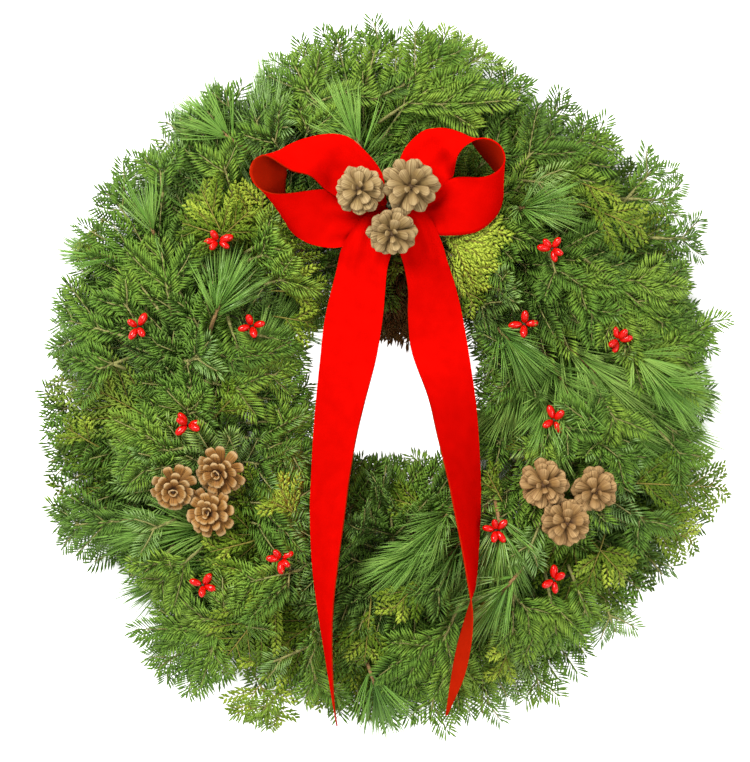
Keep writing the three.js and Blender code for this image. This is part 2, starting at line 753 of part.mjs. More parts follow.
// The stem that is nearest below a point and can be reached by a straight wire.
function seatFor(root, radius, name) {
  const seats = [];
  placed.forEach((item) => {
    if (item.isStem) {
      const along = new THREE.Line3(item.start, item.end);
      const point = along.closestPointToPoint(root, true, new THREE.Vector3());
      if (point.z < root.z - SEAT_BELOW) {
        seats.push({ point, item, distance: point.distanceTo(root) });
      }
    }
  });
  seats.sort((a, b) => a.distance - b.distance);
  return seats.find(({ point, item }) => {
    const away = new THREE.Vector3().subVectors(root, point).normalize();
    const foot = point.clone().addScaledVector(away, item.radius + radius + SEAT_GAP);
    return placed.every((other) => {
      if (other === item || other.node === name) {
        return true;
      }
      const limit = other.radius + radius + GAP;
      return distanceBetween(root, foot, other.start, other.end) > limit;
    });
  });
}

// A wire leg from a root to its seat, shortened until it just clears the solid it stands on.
function legTo(root, target, radius, carrier) {
  const away = new THREE.Vector3().subVectors(root, target).normalize();
  const crown = root.clone().addScaledVector(away, LEG_CROWN);
  let step = 0;
  let leg = null;
  do {
    step += LEG_SHORTENING;
    const foot = target.clone().addScaledVector(away, step);
    leg = rod([foot, root, crown], [radius, radius * LEG_CROWN_WIDER, radius * LEG_CROWN_WIDER]);
  } while (solidFrom(leg).minGap(carrier, 1) < GAP);
  return { leg, foot: target.clone().addScaledVector(away, step) };
}

function addConesAndPicks(stems, tieTop) {
  waiting.forEach(({ name, finish, pieces, root, radius, onTie }) => {
    const seat = onTie ? { point: tieTop, item: null } : seatFor(root, radius, name);
    const carrier = onTie ? stems.bow_tie : stems[seat.item.node];
    const { leg, foot } = legTo(root, seat.point, radius, carrier);
    note(foot, root, radius, name, 'leg');
    addMesh(name, finish, geometryOf(fuse([...pieces, leg])));
  });
}

// Branches.

function lanePoints(tier, station) {
  const points = [];
  for (let i = 0; i <= LANE_STEPS; i += 1) {
    const degrees = FIRST_STATION - station * STATION_STEP - LANE_START;
    const along = (LANE_LENGTH * i) / LANE_STEPS;
    points.push(polar(degrees - along, TIERS[tier].lane, LANE_HEIGHT));
  }
  return points;
}

// A sprig curves away from its lane clockwise, and outward or into the wreath's hole.
function sprigPoints(tier, station, sprig, past) {
  const { lane, sweep } = TIERS[tier];
  const leave = sprig.leave + jitter(LEAVE_JITTER);
  const start = FIRST_STATION - station * STATION_STEP - LANE_START - leave;
  const outward = sprig.reach > lane ? 1 : -1;
  const top = Math.sin(radians(start - sweep)) ** 2;
  const stretch = tier === 'outer' ? mix(1, REACH_AT_TOP, top) : 1;
  const short = tier === 'inner' ? Math.min(past, INNER_PAST) : past;
  const reach = sprig.reach * stretch + jitter(REACH_JITTER) - outward * short;
  const middle = sprig.middle + jitter(HEIGHT_JITTER);
  const tip = sprig.tip + jitter(HEIGHT_JITTER);
  return SPRIG_STEPS.map((u) => {
    const degrees = start - sweep * (1 - (1 - u) ** SWEEP_CURVE);
    const radius = mix(lane, reach, u ** REACH_CURVE);
    const rise = 4 * middle * u * (1 - u) + tip * u * (2 * u - 1);
    return polar(degrees, radius, LANE_HEIGHT * (1 - u) * (1 - 2 * u) + rise);
  });
}

function pointOn(points, share) {
  const steps = points.length - 1;
  const i = Math.min(steps - 1, Math.floor(share * steps));
  const direction = new THREE.Vector3().subVectors(points[i + 1], points[i]).normalize();
  return { point: points[i].clone().lerp(points[i + 1], share * steps - i), direction };
}

// One needle, turned or shortened until it clears everything else, or nothing.
function placeNeedle(points, share, turn, growth, length, node, part) {
  const { point, direction } = pointOn(points, share);
  const { side, lift } = crossFrame(direction);
  const lean = radians(growth.lean);
  for (const shorter of SHORTER) {
    for (const bend of BEND_TURNS) {
      const angle = radians(turn + bend);
      const tip = point.clone().addScaledVector(direction, Math.cos(lean) * length * shorter);
      tip.addScaledVector(side, Math.cos(angle) * Math.sin(lean) * length * shorter);
      tip.addScaledVector(lift, Math.sin(angle) * Math.sin(lean) * length * shorter);
      const radius = growth.width / 2;
      if (isClear(point, tip, radius, node, part)) {
        note(point, tip, radius, node, part);
        return needle(point, tip, growth.width, growth.thickness);
      }
    }
  }
  return null;
}

function branchName(kind, tier, station) {
  return `${kind}_${tier}_${String(station + 1).padStart(2, '0')}`;
}

function growStems() {
  const branches = [];
  Object.keys(TIERS).forEach((tier) => {
    for (let station = 0; station < STATIONS; station += 1) {
      const kind = KINDS[tier][station];
      const growth = GROWTH[kind];
      const name = branchName(kind, tier, station);
      const lane = lanePoints(tier, station);
      const laneRadii = lane.map(() => LANE_CORE);
      const pieces = [rod(lane, laneRadii)];
      noteLine(lane, laneRadii, name, 'lane', true);
      const sprigs = TIERS[tier].sprigs.map((sprig, index) => {
        const points = sprigPoints(tier, station, sprig, growth.past);
        const radii = SPRIG_STEPS.map((u) => mix(growth.stem[0], growth.stem[1], u));
        noteLine(points, radii, name, `sprig ${index}`, true);
        pieces.push(rod(points, radii));
        return points;
      });
      branches.push({ name, kind, tier, growth, sprigs, pieces });
    }
  });
  return branches;
}

function addNeedles(branch) {
  const { name, kind, tier, growth, sprigs, pieces } = branch;
  const { needles, needlesFrom } = TIERS[tier];
  sprigs.forEach((points, index) => {
    const part = `sprig ${index}`;
    for (let k = 0; k < needles; k += 1) {
      const share = mix(needlesFrom, LAST_NEEDLE, (k + 0.5) / needles);
      const turn = growth.turns[k % growth.turns.length];
      const length = mix(growth.length[0], growth.length[1], random());
      const made = placeNeedle(points, share, turn, growth, length, name, part);
      if (made) {
        pieces.push(made);
      }
    }
  });
  addMesh(name, kind, geometryOf(fuse(pieces)));
}

function buildWreath() {
  addClampRing();
  addRibbon('left_loop', LEFT_LOOP.map(loopEdges));
  addRibbon('right_loop', RIGHT_LOOP.map(loopEdges));
  addRibbon('left_tail', LEFT_TAIL.map((rung) => tailEdges(rung, 1)));
  addRibbon('right_tail', RIGHT_TAIL.map((rung) => tailEdges(rung, -1)));
  const tieTop = addBowTie();
  CONES.forEach((cone, index) => {
    const { pieces, root } = conePieces(cone);
    const onTie = index < CONES_ON_BOW;
    waiting.push({ name: cone.name, finish: 'cone', pieces, root, radius: CONE_WIRE, onTie });
  });
  PICKS.forEach((pick, index) => {
    const name = `berry_pick_${String(index + 1).padStart(2, '0')}`;
    const { pieces, root } = berryPieces(pick, name);
    waiting.push({ name, finish: 'berry', pieces, root, radius: PICK_WIRE, onTie: false });
  });
  const branches = growStems();
  const stems = { bow_tie: solidFrom(wreath.getObjectByName('bow_tie').geometry) };
  branches.forEach((branch) => {
    stems[branch.name] = fuse(branch.pieces);
  });
  addConesAndPicks(stems, tieTop);
  branches.forEach(addNeedles);
}

buildWreath();
const bounds = new THREE.Box3().setFromObject(wreath);
const centre = bounds.getCenter(new THREE.Vector3());
wreath.position.set(-centre.x, -centre.y, -bounds.min.z);

export default wreath;
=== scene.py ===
"""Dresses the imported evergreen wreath: fir, pine and cedar, a velvet bow, pine cones and berries.

A piece is shaped in millimetres from the middle of the clamp ring, with the ring's underside at
height 0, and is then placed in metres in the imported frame.
"""

import json
import logging
import math
from dataclasses import dataclass, field, replace
from enum import Enum

import bpy
import numpy as np
from bpy.types import Material, Node, NodeSocket, NodeTree, Object
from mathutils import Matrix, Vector

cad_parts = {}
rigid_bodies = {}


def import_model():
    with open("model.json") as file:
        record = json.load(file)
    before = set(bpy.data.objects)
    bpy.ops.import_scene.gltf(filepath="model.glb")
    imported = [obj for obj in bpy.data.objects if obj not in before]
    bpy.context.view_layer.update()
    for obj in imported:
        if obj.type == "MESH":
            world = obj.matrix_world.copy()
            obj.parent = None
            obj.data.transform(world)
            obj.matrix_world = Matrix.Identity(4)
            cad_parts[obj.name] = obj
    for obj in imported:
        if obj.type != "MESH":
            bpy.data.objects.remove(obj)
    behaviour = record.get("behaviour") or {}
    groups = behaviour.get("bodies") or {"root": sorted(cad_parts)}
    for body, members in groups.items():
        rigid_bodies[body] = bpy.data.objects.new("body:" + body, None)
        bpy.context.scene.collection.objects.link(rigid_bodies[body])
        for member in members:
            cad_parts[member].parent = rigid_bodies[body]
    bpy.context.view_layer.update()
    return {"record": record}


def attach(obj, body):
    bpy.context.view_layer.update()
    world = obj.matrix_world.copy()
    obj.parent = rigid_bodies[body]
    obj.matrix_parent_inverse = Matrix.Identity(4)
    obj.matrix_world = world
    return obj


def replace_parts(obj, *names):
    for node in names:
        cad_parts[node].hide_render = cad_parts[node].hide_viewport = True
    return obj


LOG = logging.getLogger("wreath")
BODY = "root"
MILLIMETRE = 0.001
WREATH_ACROSS = 610.0
WREATH_PIXELS = 700
GOLDEN_TURN = 137.508
MARKS = "marks"

Array = np.ndarray
Random = np.random.Generator
Pair = tuple[float, float]
Row = tuple[float, ...]
UP = np.array([0.0, 0.0, 1.0])
DOWN = np.array([0.0, 0.0, -1.0])
EVEN_MARK = (0.5, 0.5, 0.0)


def unit(vectors: Array) -> Array:
    """Scales vectors to length 1."""
    return vectors / np.maximum(np.linalg.norm(vectors, axis=-1, keepdims=True), 1e-9)


def mix(first: float | Array, second: float | Array, share: float | Array) -> float | Array:
    """Goes from the first value to the second as share goes from 0 to 1."""
    return first + (second - first) * share


def varied(
    tone: float, spread: float, rng: Random, count: int | None = None
) -> float | Array:
    """Shifts a tone at random, once or for each of a count, and keeps it from 0 to 1."""
    return np.clip(tone + rng.normal(0, spread, count), 0, 1)


def polar(degrees: float | Array, radius: float | Array, height: float | Array) -> Array:
    """Gives points by their place round the ring.

    Args:
        degrees: the angle, anticlockwise from the right.
        radius: how far out, in millimetres.
        height: how far up, in millimetres.

    Returns:
        One point, or a row of them where any value is a row.
    """
    turn = np.radians(degrees)
    parts = np.broadcast_arrays(np.cos(turn) * radius, np.sin(turn) * radius, height)
    return np.stack(parts, axis=-1).astype(float)


def linear(code: str) -> tuple[float, float, float, float]:
    """Turns an sRGB hex value into linear red, green and blue, with full alpha.

    Args:
        code: six hex digits after a hash sign.

    Returns:
        The linear colour that a shader socket takes.
    """
    shares = [int(code[i : i + 2], 16) / 255 for i in (1, 3, 5)]
    values = [s / 12.92 if s <= 0.04045 else ((s + 0.055) / 1.055) ** 2.4 for s in shares]
    return (values[0], values[1], values[2], 1.0)


class Kind(Enum):
    """The evergreens that the wreath is made of, and fir that has dried brown and is darkened further as
    painted shade.
    """

    FIR = "fir"
    PINE = "pine"
    CEDAR = "cedar"
    DRY = "dry_fir"


class Tier(Enum):
    """Where a branch is tied: to the rim, on the face, or into the wreath's hole."""

    OUTER = "outer"
    FACE = "face"
    INNER = "inner"


@dataclass(frozen=True)
class PhotoView:
    """How the photograph's pixels lie on the wreath, for a camera straight above it."""

    pixel: float = WREATH_ACROSS / WREATH_PIXELS
    width: int = 750
    height: int = 762
    middle: Pair = (375.0, 381.0)
    ring_middle: Pair = (388.0, 385.0)
    camera_height: float = 3000.0
    rim_height: float = 40.0

    def at(self, x: float, y: float, height: float) -> Array:
        """Finds the point that shows at a pixel.

        Args:
            x: pixels from the photograph's left side.
            y: pixels from its top.
            height: how far the point is above the surface, in millimetres.

        Returns:
            The point in millimetres from the ring's middle.
        """
        scale = self.pixel * (self.camera_height - height) / (self.camera_height - self.rim_height)
        across = (self.middle[0] - self.ring_middle[0]) * self.pixel
        upward = (self.ring_middle[1] - self.middle[1]) * self.pixel
        right = across + (x - self.middle[0]) * scale
        return np.array([right, upward + (self.middle[1] - y) * scale, height])


@dataclass(frozen=True)
class Dome:
    """The rounded face of the wreath, highest where the branches of the face are tied."""

    crest: float = 165.0
    rim: float = 35.0
    rise: float = 65.0
    outward: float = 140.0
    inward: float = 115.0
    steepest: float = 0.6

    def height(self, points: Array) -> Array:
        """Gives the height of the face.

        Args:
            points: points above or below it.

        Returns:
            The face's height at each, in millimetres.
        """
        radius = np.hypot(points[..., 0], points[..., 1])
        spread = np.where(radius > self.crest, self.outward, self.inward)
        share = np.minimum(1, np.abs(radius - self.crest) / spread)
        return self.rim + self.rise * np.cos(share * math.pi / 2)

    def normal(self, point: Array) -> Array:
        """Gives which way the face looks.

        Args:
            point: a point near it.

        Returns:
            The unit vector away from the face.
        """
        outward = unit(point * [1, 1, 0])
        slope = float(self.height(point - outward) - self.height(point + outward)) / 2
        return unit(outward * min(max(slope, -self.steepest), self.steepest) - DOWN)


@dataclass
class Place:
    """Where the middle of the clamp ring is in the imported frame."""

    record: dict
    rail_radius: float = 152.0
    foot_depth: float = 0.6
    middle: Array = field(init=False)

    def __post_init__(self) -> None:
        """Finds the ring's middle from the mount on the rail's underside."""
        mounts = {mount["name"]: mount["pos_m"] for mount in self.record["mounts"]}
        x, y, _ = mounts["back_rest"]
        self.middle = np.array([x / MILLIMETRE, y / MILLIMETRE + self.rail_radius, 0.0])

    def to_frame(self, points: Array) -> Array:
        """Turns millimetres from the ring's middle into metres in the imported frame."""
        return (points + self.middle) * MILLIMETRE

    def foot_of(self, node: str) -> Array:
        """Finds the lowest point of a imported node, where its wire leg ends.

        Args:
            node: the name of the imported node.

        Returns:
            The point in millimetres from the ring's middle.
        """
        vertices = bpy.data.objects[node].data.vertices
        points = np.array([v.co for v in vertices]) / MILLIMETRE - self.middle
        low = points[:, 2].min()
        return points[points[:, 2] < low + self.foot_depth].mean(axis=0)


@dataclass
class SeededRule:
    """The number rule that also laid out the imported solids, so that both agree."""

    state: int = 20261
    times: int = 1664525
    plus: int = 1013904223
    span: int = 2**32

    def draw(self) -> float:
        """Gives the next number from 0 to 1."""
        self.state = (self.state * self.times + self.plus) % self.span
        return self.state / self.span

    def jitter(self, spread: float) -> float:
        """Gives the next number from minus to plus the spread."""
        return (self.draw() * 2 - 1) * spread


class Strand:
    """A line through space that needles, twigs and scales grow along."""

    end_margin: float = 0.6
    half_step: float = 0.5

    def __init__(self, points: Array, upward: Array) -> None:
        """Keeps a line and measures it.

        Args:
            points: the points of the line, in millimetres.
            upward: which way its upper side faces.
        """
        self.points = points
        steps = np.linalg.norm(np.diff(points, axis=0), axis=1)
        self.reach = np.concatenate([[0.0], np.cumsum(steps)])
        self.length = float(self.reach[-1])
        self.upward = upward

    def point(self, distance: Array) -> Array:
        """Gives the points at distances along the line."""
        parts = [np.interp(distance, self.reach, self.points[:, i]) for i in range(3)]
        return np.stack(parts, axis=-1)

    def frame(self, distance: Array) -> tuple[Array, Array, Array, Array]:
        """Gives where the line is and which way it faces.

        Args:
            distance: distances along the line, in millimetres.

        Returns:
            Points, and unit vectors forward, to the right and up.
        """
        inside = np.clip(distance, self.end_margin, self.length - self.end_margin)
        forward = unit(self.point(inside + self.half_step) - self.point(inside - self.half_step))
        right = unit(np.cross(forward, self.upward))
        return self.point(distance), forward, right, np.cross(right, forward)

    def part(self, first: float, count: int) -> "Strand":
        """Gives the line from a distance to its end, as a count of points."""
        return Strand(self.point(np.linspace(first, self.length, count)), self.upward)


class PieceMesh:
    """Gathers the triangles of one piece, with a mark on each point for its material to read.

    A leaf's mark is its tone from 0 to 1, how far along the leaf the point is, and how much it
    belongs to the underside. A cone scale's mark is how near its edge the point is, how far along
    the scale, and a place from side to side. All else has the same mark all over.
    """

    lowest: float = 5.0

    def __init__(self) -> None:
        """Starts with nothing."""
        self.points: list[Array] = []
        self.faces: list[Array] = []
        self.marks: list[Array] = []
        self.slots: list[Array] = []
        self.count = 0
        self.triangles = 0

    def add(self, points: Array, faces: Array, marks: Array, slot: int = 0) -> None:
        """Adds one form, or many copies of one layout.

        Args:
            points: one row of points, or one for each copy.
            faces: the triangles of one copy, by point number.
            marks: marks for the points, in the same shape.
            slot: which of the piece's materials the triangles take.
        """
        if points.ndim == 2:
            points, marks = points[None], marks[None]
        copies, corners, _ = points.shape
        shift = (np.arange(copies) * corners + self.count)[:, None, None]
        self.faces.append((faces[None] + shift).reshape(-1, 3))
        self.points.append(points.reshape(-1, 3))
        self.marks.append(marks.reshape(-1, 3))
        self.slots.append(np.full(copies * len(faces), slot))
        self.count += copies * corners
        self.triangles += copies * len(faces)

    def add_tube(self, line: Array, radii: Array, sides: int, slot: int = 0, closed: bool = False) -> None:
        """Adds a round form along a line."""
        points, faces = tube(line, radii, sides, closed)
        self.add(points, faces, np.tile(np.array(EVEN_MARK), (len(points), 1)), slot)

    def add_rod(self, line: Array, radii: Array, sides: int) -> None:
        """Adds a round stem or wire in the piece's second material."""
        self.add_tube(line, radii, sides, slot=1)

    def above_floor(self) -> None:
        """Lifts what would go through the surface that the wreath lies on."""
        for points in self.points:
            low = points[:, 2] < self.lowest
            points[low, 2] = self.lowest * np.exp((points[low, 2] - self.lowest) / self.lowest)

    def build(self, name: str, materials: list[Material], place: Place) -> Object:
        """Makes the object, which rides on the wreath's one body.

        Args:
            name: the piece's name.
            materials: its materials, in the order of the slots.
            place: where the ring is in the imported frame.

        Returns:
            The new object.
        """
        faces = np.concatenate(self.faces).astype(np.int32)
        points = place.to_frame(np.concatenate(self.points)).astype(np.float32)
        mesh = bpy.data.meshes.new(name)
        mesh.vertices.add(len(points))
        mesh.vertices.foreach_set("co", points.ravel())
        mesh.loops.add(faces.size)
        mesh.loops.foreach_set("vertex_index", faces.ravel())
        mesh.polygons.add(len(faces))
        mesh.polygons.foreach_set("loop_start", np.arange(0, faces.size, 3, dtype=np.int32))
        for material in materials:
            mesh.materials.append(material)
        mesh.polygons.foreach_set("material_index", np.concatenate(self.slots).astype(np.int32))
        mesh.polygons.foreach_set("use_smooth", np.ones(len(faces), dtype=bool))
        marks = mesh.attributes.new(MARKS, "FLOAT_VECTOR", "POINT")
        marks.data.foreach_set("vector", np.concatenate(self.marks).astype(np.float32).ravel())
        mesh.update(calc_edges=True)
        piece = bpy.data.objects.new(name, mesh)
        bpy.context.scene.collection.objects.link(piece)
        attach(piece, BODY)
        LOG.info("%s: %d triangles", name, self.triangles)
        return piece


@dataclass
class Covers:
    """What lies on the foliage and presses it down: the ribbons, the cones and the berries.

    It keeps the greatest height that the foliage may have, on a grid of square cells.
    """

    half: float = 360.0
    cell: float = 2.0
    between: int = 4
    slope: float = 0.6
    reach: float = 36.0
    depth: float = 5.0
    limit: Array = field(init=False)

    def __post_init__(self) -> None:
        """Starts with nothing on the foliage."""
        count = int(2 * self.half / self.cell)
        self.limit = np.full((count, count), np.inf)

    def cells(self, points: Array) -> tuple[Array, Array]:
        """Finds the grid cells of points."""
        place = np.clip(((points[:, :2] + self.half) / self.cell).astype(int), 0, len(self.limit) - 1)
        return place[:, 0], place[:, 1]

    def lay(self, points: Array, clearance: float) -> None:
        """Keeps the foliage below these points by a clearance."""
        np.minimum.at(self.limit, self.cells(points), points[:, 2] - clearance)

    def lay_grid(self, grid: Array, clearance: float) -> None:
        """Keeps the foliage below a sheet.

        Args:
            grid: rows of points of the sheet.
            clearance: how far below it, in millimetres.
        """
        for axis in (0, 1):
            count = grid.shape[axis]
            places = np.linspace(0, count - 1, (count - 1) * self.between + 1)
            low = np.minimum(places.astype(int), count - 2)
            share = (places - low)[:, None, None] if axis == 0 else (places - low)[None, :, None]
            grid = mix(np.take(grid, low, axis), np.take(grid, low + 1, axis), share)
        self.lay(grid.reshape(-1, 3), clearance)

    def lay_bowl(self, middle: Array, radius: float, slope: float) -> None:
        """Keeps the foliage below a shallow bowl.

        Args:
            middle: the lowest point of the bowl.
            radius: how far the bowl reaches.
            slope: how steeply its side rises outward.
        """
        steps = np.arange(-radius, radius + self.cell, self.cell)
        across, along = np.meshgrid(steps, steps)
        distance = np.hypot(across, along)
        inside = distance < radius
        level = middle[2] + distance[inside] * slope
        self.lay(np.stack([middle[0] + across[inside], middle[1] + along[inside], level], axis=-1), 0.0)

    def soften(self) -> None:
        """Lets the foliage slope down to what lies on it, so that nothing bridges a narrow ribbon."""
        for _ in range(int(self.reach / self.cell)):
            padded = np.pad(self.limit, 1, constant_values=np.inf)
            beside = [padded[:-2, 1:-1], padded[2:, 1:-1], padded[1:-1, :-2], padded[1:-1, 2:]]
            self.limit = np.minimum(self.limit, np.min(beside, axis=0) + self.slope * self.cell)

    def press(self, mesh: PieceMesh) -> None:
        """Presses a piece down to below what lies on it, without changing what is above what.

        Args:
            mesh: the piece.
        """
        for points in mesh.points:
            limit = self.limit[self.cells(points)]
            high = points[:, 2] > limit - self.depth
            over = points[high, 2] - limit[high] + self.depth
            points[high, 2] = limit[high] - self.depth * np.exp(-over / self.depth)


@dataclass(frozen=True)
class Fork:
    """How a twig leaves its stem: at an angle, then bending forward, drooping and rolled a little."""

    angles: Pair = (40, 50)
    rise: float = 0.12
    bend: float = 0.2
    droop: Pair = (0.02, 0.12)
    roll: Pair = (-0.1, 0.25)

    def twig(self, strand: Strand, at: float, turn: int, length: float, rng: Random) -> Strand:
        """Gives the line of a twig that leaves a stem to one side.

        Args:
            strand: the stem's line.
            at: how far along that line, in millimetres.
            turn: 1 to the right, -1 to the left.
            length: the twig's length, in millimetres.
            rng: seeded numbers.

        Returns:
            The twig's line.
        """
        root, forward, right, lift = (part[0] for part in strand.frame(np.array([at])))
        angle = math.radians(rng.uniform(*self.angles))
        rise = rng.uniform(-self.rise, self.rise)
        out = unit(forward * math.cos(angle) + right * turn * math.sin(angle) + lift * rise)
        along = np.linspace(0, length, 6)[:, None]
        curve = (forward * self.bend + DOWN * rng.uniform(*self.droop)) * along**2 / length
        return Strand(root + out * along + curve, unit(lift + right * turn * rng.uniform(*self.roll)))


def tube(points: Array, radii: Array, sides: int, closed: bool = False) -> tuple[Array, Array]:
    """Makes a round rod, wire or twig along a line of points.

    Args:
        points: the line through its middle.
        radii: its radius at each point.
        sides: how many sides its section has.
        closed: whether the line ends where it starts.

    Returns:
        The points and triangles of the tube, with both ends capped unless it is closed.
    """
    count = len(points)
    if closed:
        forward = unit(np.roll(points, -1, axis=0) - np.roll(points, 1, axis=0))
    else:
        forward = unit(np.gradient(points, axis=0))
    nearly_upright = abs(forward[0][2]) >= 0.9
    first = np.array([1.0, 0.0, 0.0]) if nearly_upright else UP
    rights = np.empty_like(points)
    right = unit(np.cross(forward[0], first))
    for i in range(count):
        right = unit(right - forward[i] * np.dot(right, forward[i]))
        rights[i] = right
    lifts = np.cross(rights, forward)
    turns = np.arange(sides) * 2 * math.pi / sides
    ring = rights[:, None] * np.cos(turns)[None, :, None] + lifts[:, None] * np.sin(turns)[None, :, None]
    corners = (points[:, None] + ring * np.asarray(radii)[:, None, None]).reshape(-1, 3)
    rows = np.arange(count if closed else count - 1)
    start = (rows * sides)[:, None] + np.arange(sides)
    after = (((rows + 1) % count) * sides)[:, None] + np.arange(sides)
    start_next = np.roll(start, -1, axis=1)
    after_next = np.roll(after, -1, axis=1)
    faces = np.concatenate(
        [
            np.stack([start, after, start_next], axis=-1).reshape(-1, 3),
            np.stack([start_next, after, after_next], axis=-1).reshape(-1, 3),
        ]
    )
    if not closed:
        corners = np.concatenate([corners, points[:1], points[-1:]])
        edge = np.arange(sides)
        last = (count - 1) * sides
        front = np.stack([np.full(sides, count * sides), edge, np.roll(edge, -1)], axis=-1)
        back = np.stack([np.full(sides, count * sides + 1), last + np.roll(edge, -1), last + edge], axis=-1)
        faces = np.concatenate([faces, front, back])
    return corners, faces


def shell(upper: Array, lower: Array) -> tuple[Array, Array, Array]:
    """Closes two sheets of points into one thin shell.

    Args:
        upper: rows of points of the upper face.
        lower: the same rows on the lower face.

    Returns:
        The points, the triangles of the upper face with its rim, and those of the lower face.
    """
    rows, columns, _ = upper.shape
    far = rows * columns
    index = np.arange(far).reshape(rows, columns)
    a, b = index[:-1, :-1], index[1:, :-1]
    c, d = index[1:, 1:], index[:-1, 1:]
    top = np.concatenate([np.stack([a, d, c], -1).reshape(-1, 3), np.stack([a, c, b], -1).reshape(-1, 3)])
    rim = np.concatenate([index[0, :], index[1:, -1], index[-1, -2::-1], index[-2:0:-1, 0]])
    after = np.roll(rim, -1)
    halves = (np.stack([rim, rim + far, after], -1), np.stack([after, rim + far, after + far], -1))
    walls = np.concatenate(halves)
    points = np.concatenate([upper.reshape(-1, 3), lower.reshape(-1, 3)])
    return points, np.concatenate([top, walls]), top[:, ::-1] + far


# The Mix node's sockets for colours come after those for numbers and vectors.
MIX_COLOURS = (6, 7)
MIX_RESULT = 2
RELIEF_STRENGTH = 0.6
HALFWAY = 0.5


def add_node(
    tree: NodeTree, kind: str, settings: dict | None = None, links: dict | None = None
) -> Node:
    """Adds a node with its settings and links.

    Args:
        tree: the material's or world's nodes.
        kind: the node's type.
        settings: properties, values of inputs, and a ramp's stops as pairs of place and colour.
        links: outputs to join to the inputs of these names or numbers.

    Returns:
        The new node.
    """
    made = tree.nodes.new(kind)
    for name, value in (settings or {}).items():
        if name == "stops":
            ramp = made.color_ramp.elements
            while len(ramp) < len(value):
                ramp.new(HALFWAY)
            for element, (position, colour) in zip(ramp, value):
                element.position = position
                element.color = colour
        elif isinstance(name, str) and hasattr(made, name):
            setattr(made, name, value)
        else:
            made.inputs[name].default_value = value
    for name, source in (links or {}).items():
        tree.links.new(source, made.inputs[name])
    return made


WAX_IOR = 1.45
LACQUER_IOR = 1.5


@dataclass(frozen=True)
class Finish:
    """What every material starts from: a name, a shader and the marks on the mesh."""

    title: str
    roughness: float = 0.5
    ior: float = WAX_IOR

    def start(self) -> tuple[Material, NodeTree, Node]:
        """Makes a material with its shader.

        Returns:
            The material, its nodes and its main shader.
        """
        material = bpy.data.materials.new(self.title)
        material.use_nodes = True
        tree = material.node_tree
        tree.nodes.clear()
        settings = {"Roughness": self.roughness, "IOR": self.ior}
        shader = add_node(tree, "ShaderNodeBsdfPrincipled", settings)
        add_node(tree, "ShaderNodeOutputMaterial", links={"Surface": shader.outputs["BSDF"]})
        return material, tree, shader

    def read_marks(self, tree: NodeTree) -> Node:
        """Reads tone, along and under from the mesh as X, Y and Z."""
        reader = add_node(tree, "ShaderNodeAttribute", {"attribute_name": MARKS})
        return add_node(tree, "ShaderNodeSeparateXYZ", links={"Vector": reader.outputs["Vector"]})

    def grain(self, tree: NodeTree, size: float, detail: float = 2.0) -> NodeSocket:
        """Makes a cloudy pattern whose patches have a real size.

        Args:
            tree: the material's nodes.
            size: the patches' size, in millimetres.
            detail: how many finer patterns lie on it.

        Returns:
            The pattern, from 0 to 1.
        """
        place = add_node(tree, "ShaderNodeTexCoord")
        settings = {"Scale": 1 / (size * MILLIMETRE), "Detail": detail}
        noise = add_node(tree, "ShaderNodeTexNoise", settings, {"Vector": place.outputs["Object"]})
        return noise.outputs["Fac"]

    def blend(
        self, tree: NodeTree, share: NodeSocket, first: object, second: object
    ) -> NodeSocket:
        """Mixes two colours.

        Args:
            tree: the material's nodes.
            share: how much of the second there is.
            first: a socket or a linear colour.
            second: a socket or a linear colour.

        Returns:
            The mixed colour.
        """
        node = add_node(tree, "ShaderNodeMix", {"data_type": "RGBA"}, {0: share})
        for number, colour in zip(MIX_COLOURS, (first, second)):
            if isinstance(colour, tuple):
                node.inputs[number].default_value = colour
            else:
                tree.links.new(colour, node.inputs[number])
        return node.outputs[MIX_RESULT]

    def shifted(
        self, tree: NodeTree, value: NodeSocket, times: float, plus: float
    ) -> NodeSocket:
        """Scales and shifts a value, kept from 0 to 1."""
        settings = {"operation": "MULTIPLY_ADD", "use_clamp": True, 1: times, 2: plus}
        return add_node(tree, "ShaderNodeMath", settings, {0: value}).outputs[0]

    def relief(
        self, tree: NodeTree, shader: Node, height: NodeSocket, depth: float
    ) -> None:
        """Gives the shader a relief of a real depth in millimetres.

        Args:
            tree: the material's nodes.
            shader: its shader.
            height: the pattern.
            depth: how deep it is, in millimetres.
        """
        settings = {"Strength": RELIEF_STRENGTH, "Distance": depth * MILLIMETRE}
        bump = add_node(tree, "ShaderNodeBump", settings, {"Height": height})
        tree.links.new(bump.outputs["Normal"], shader.inputs["Normal"])


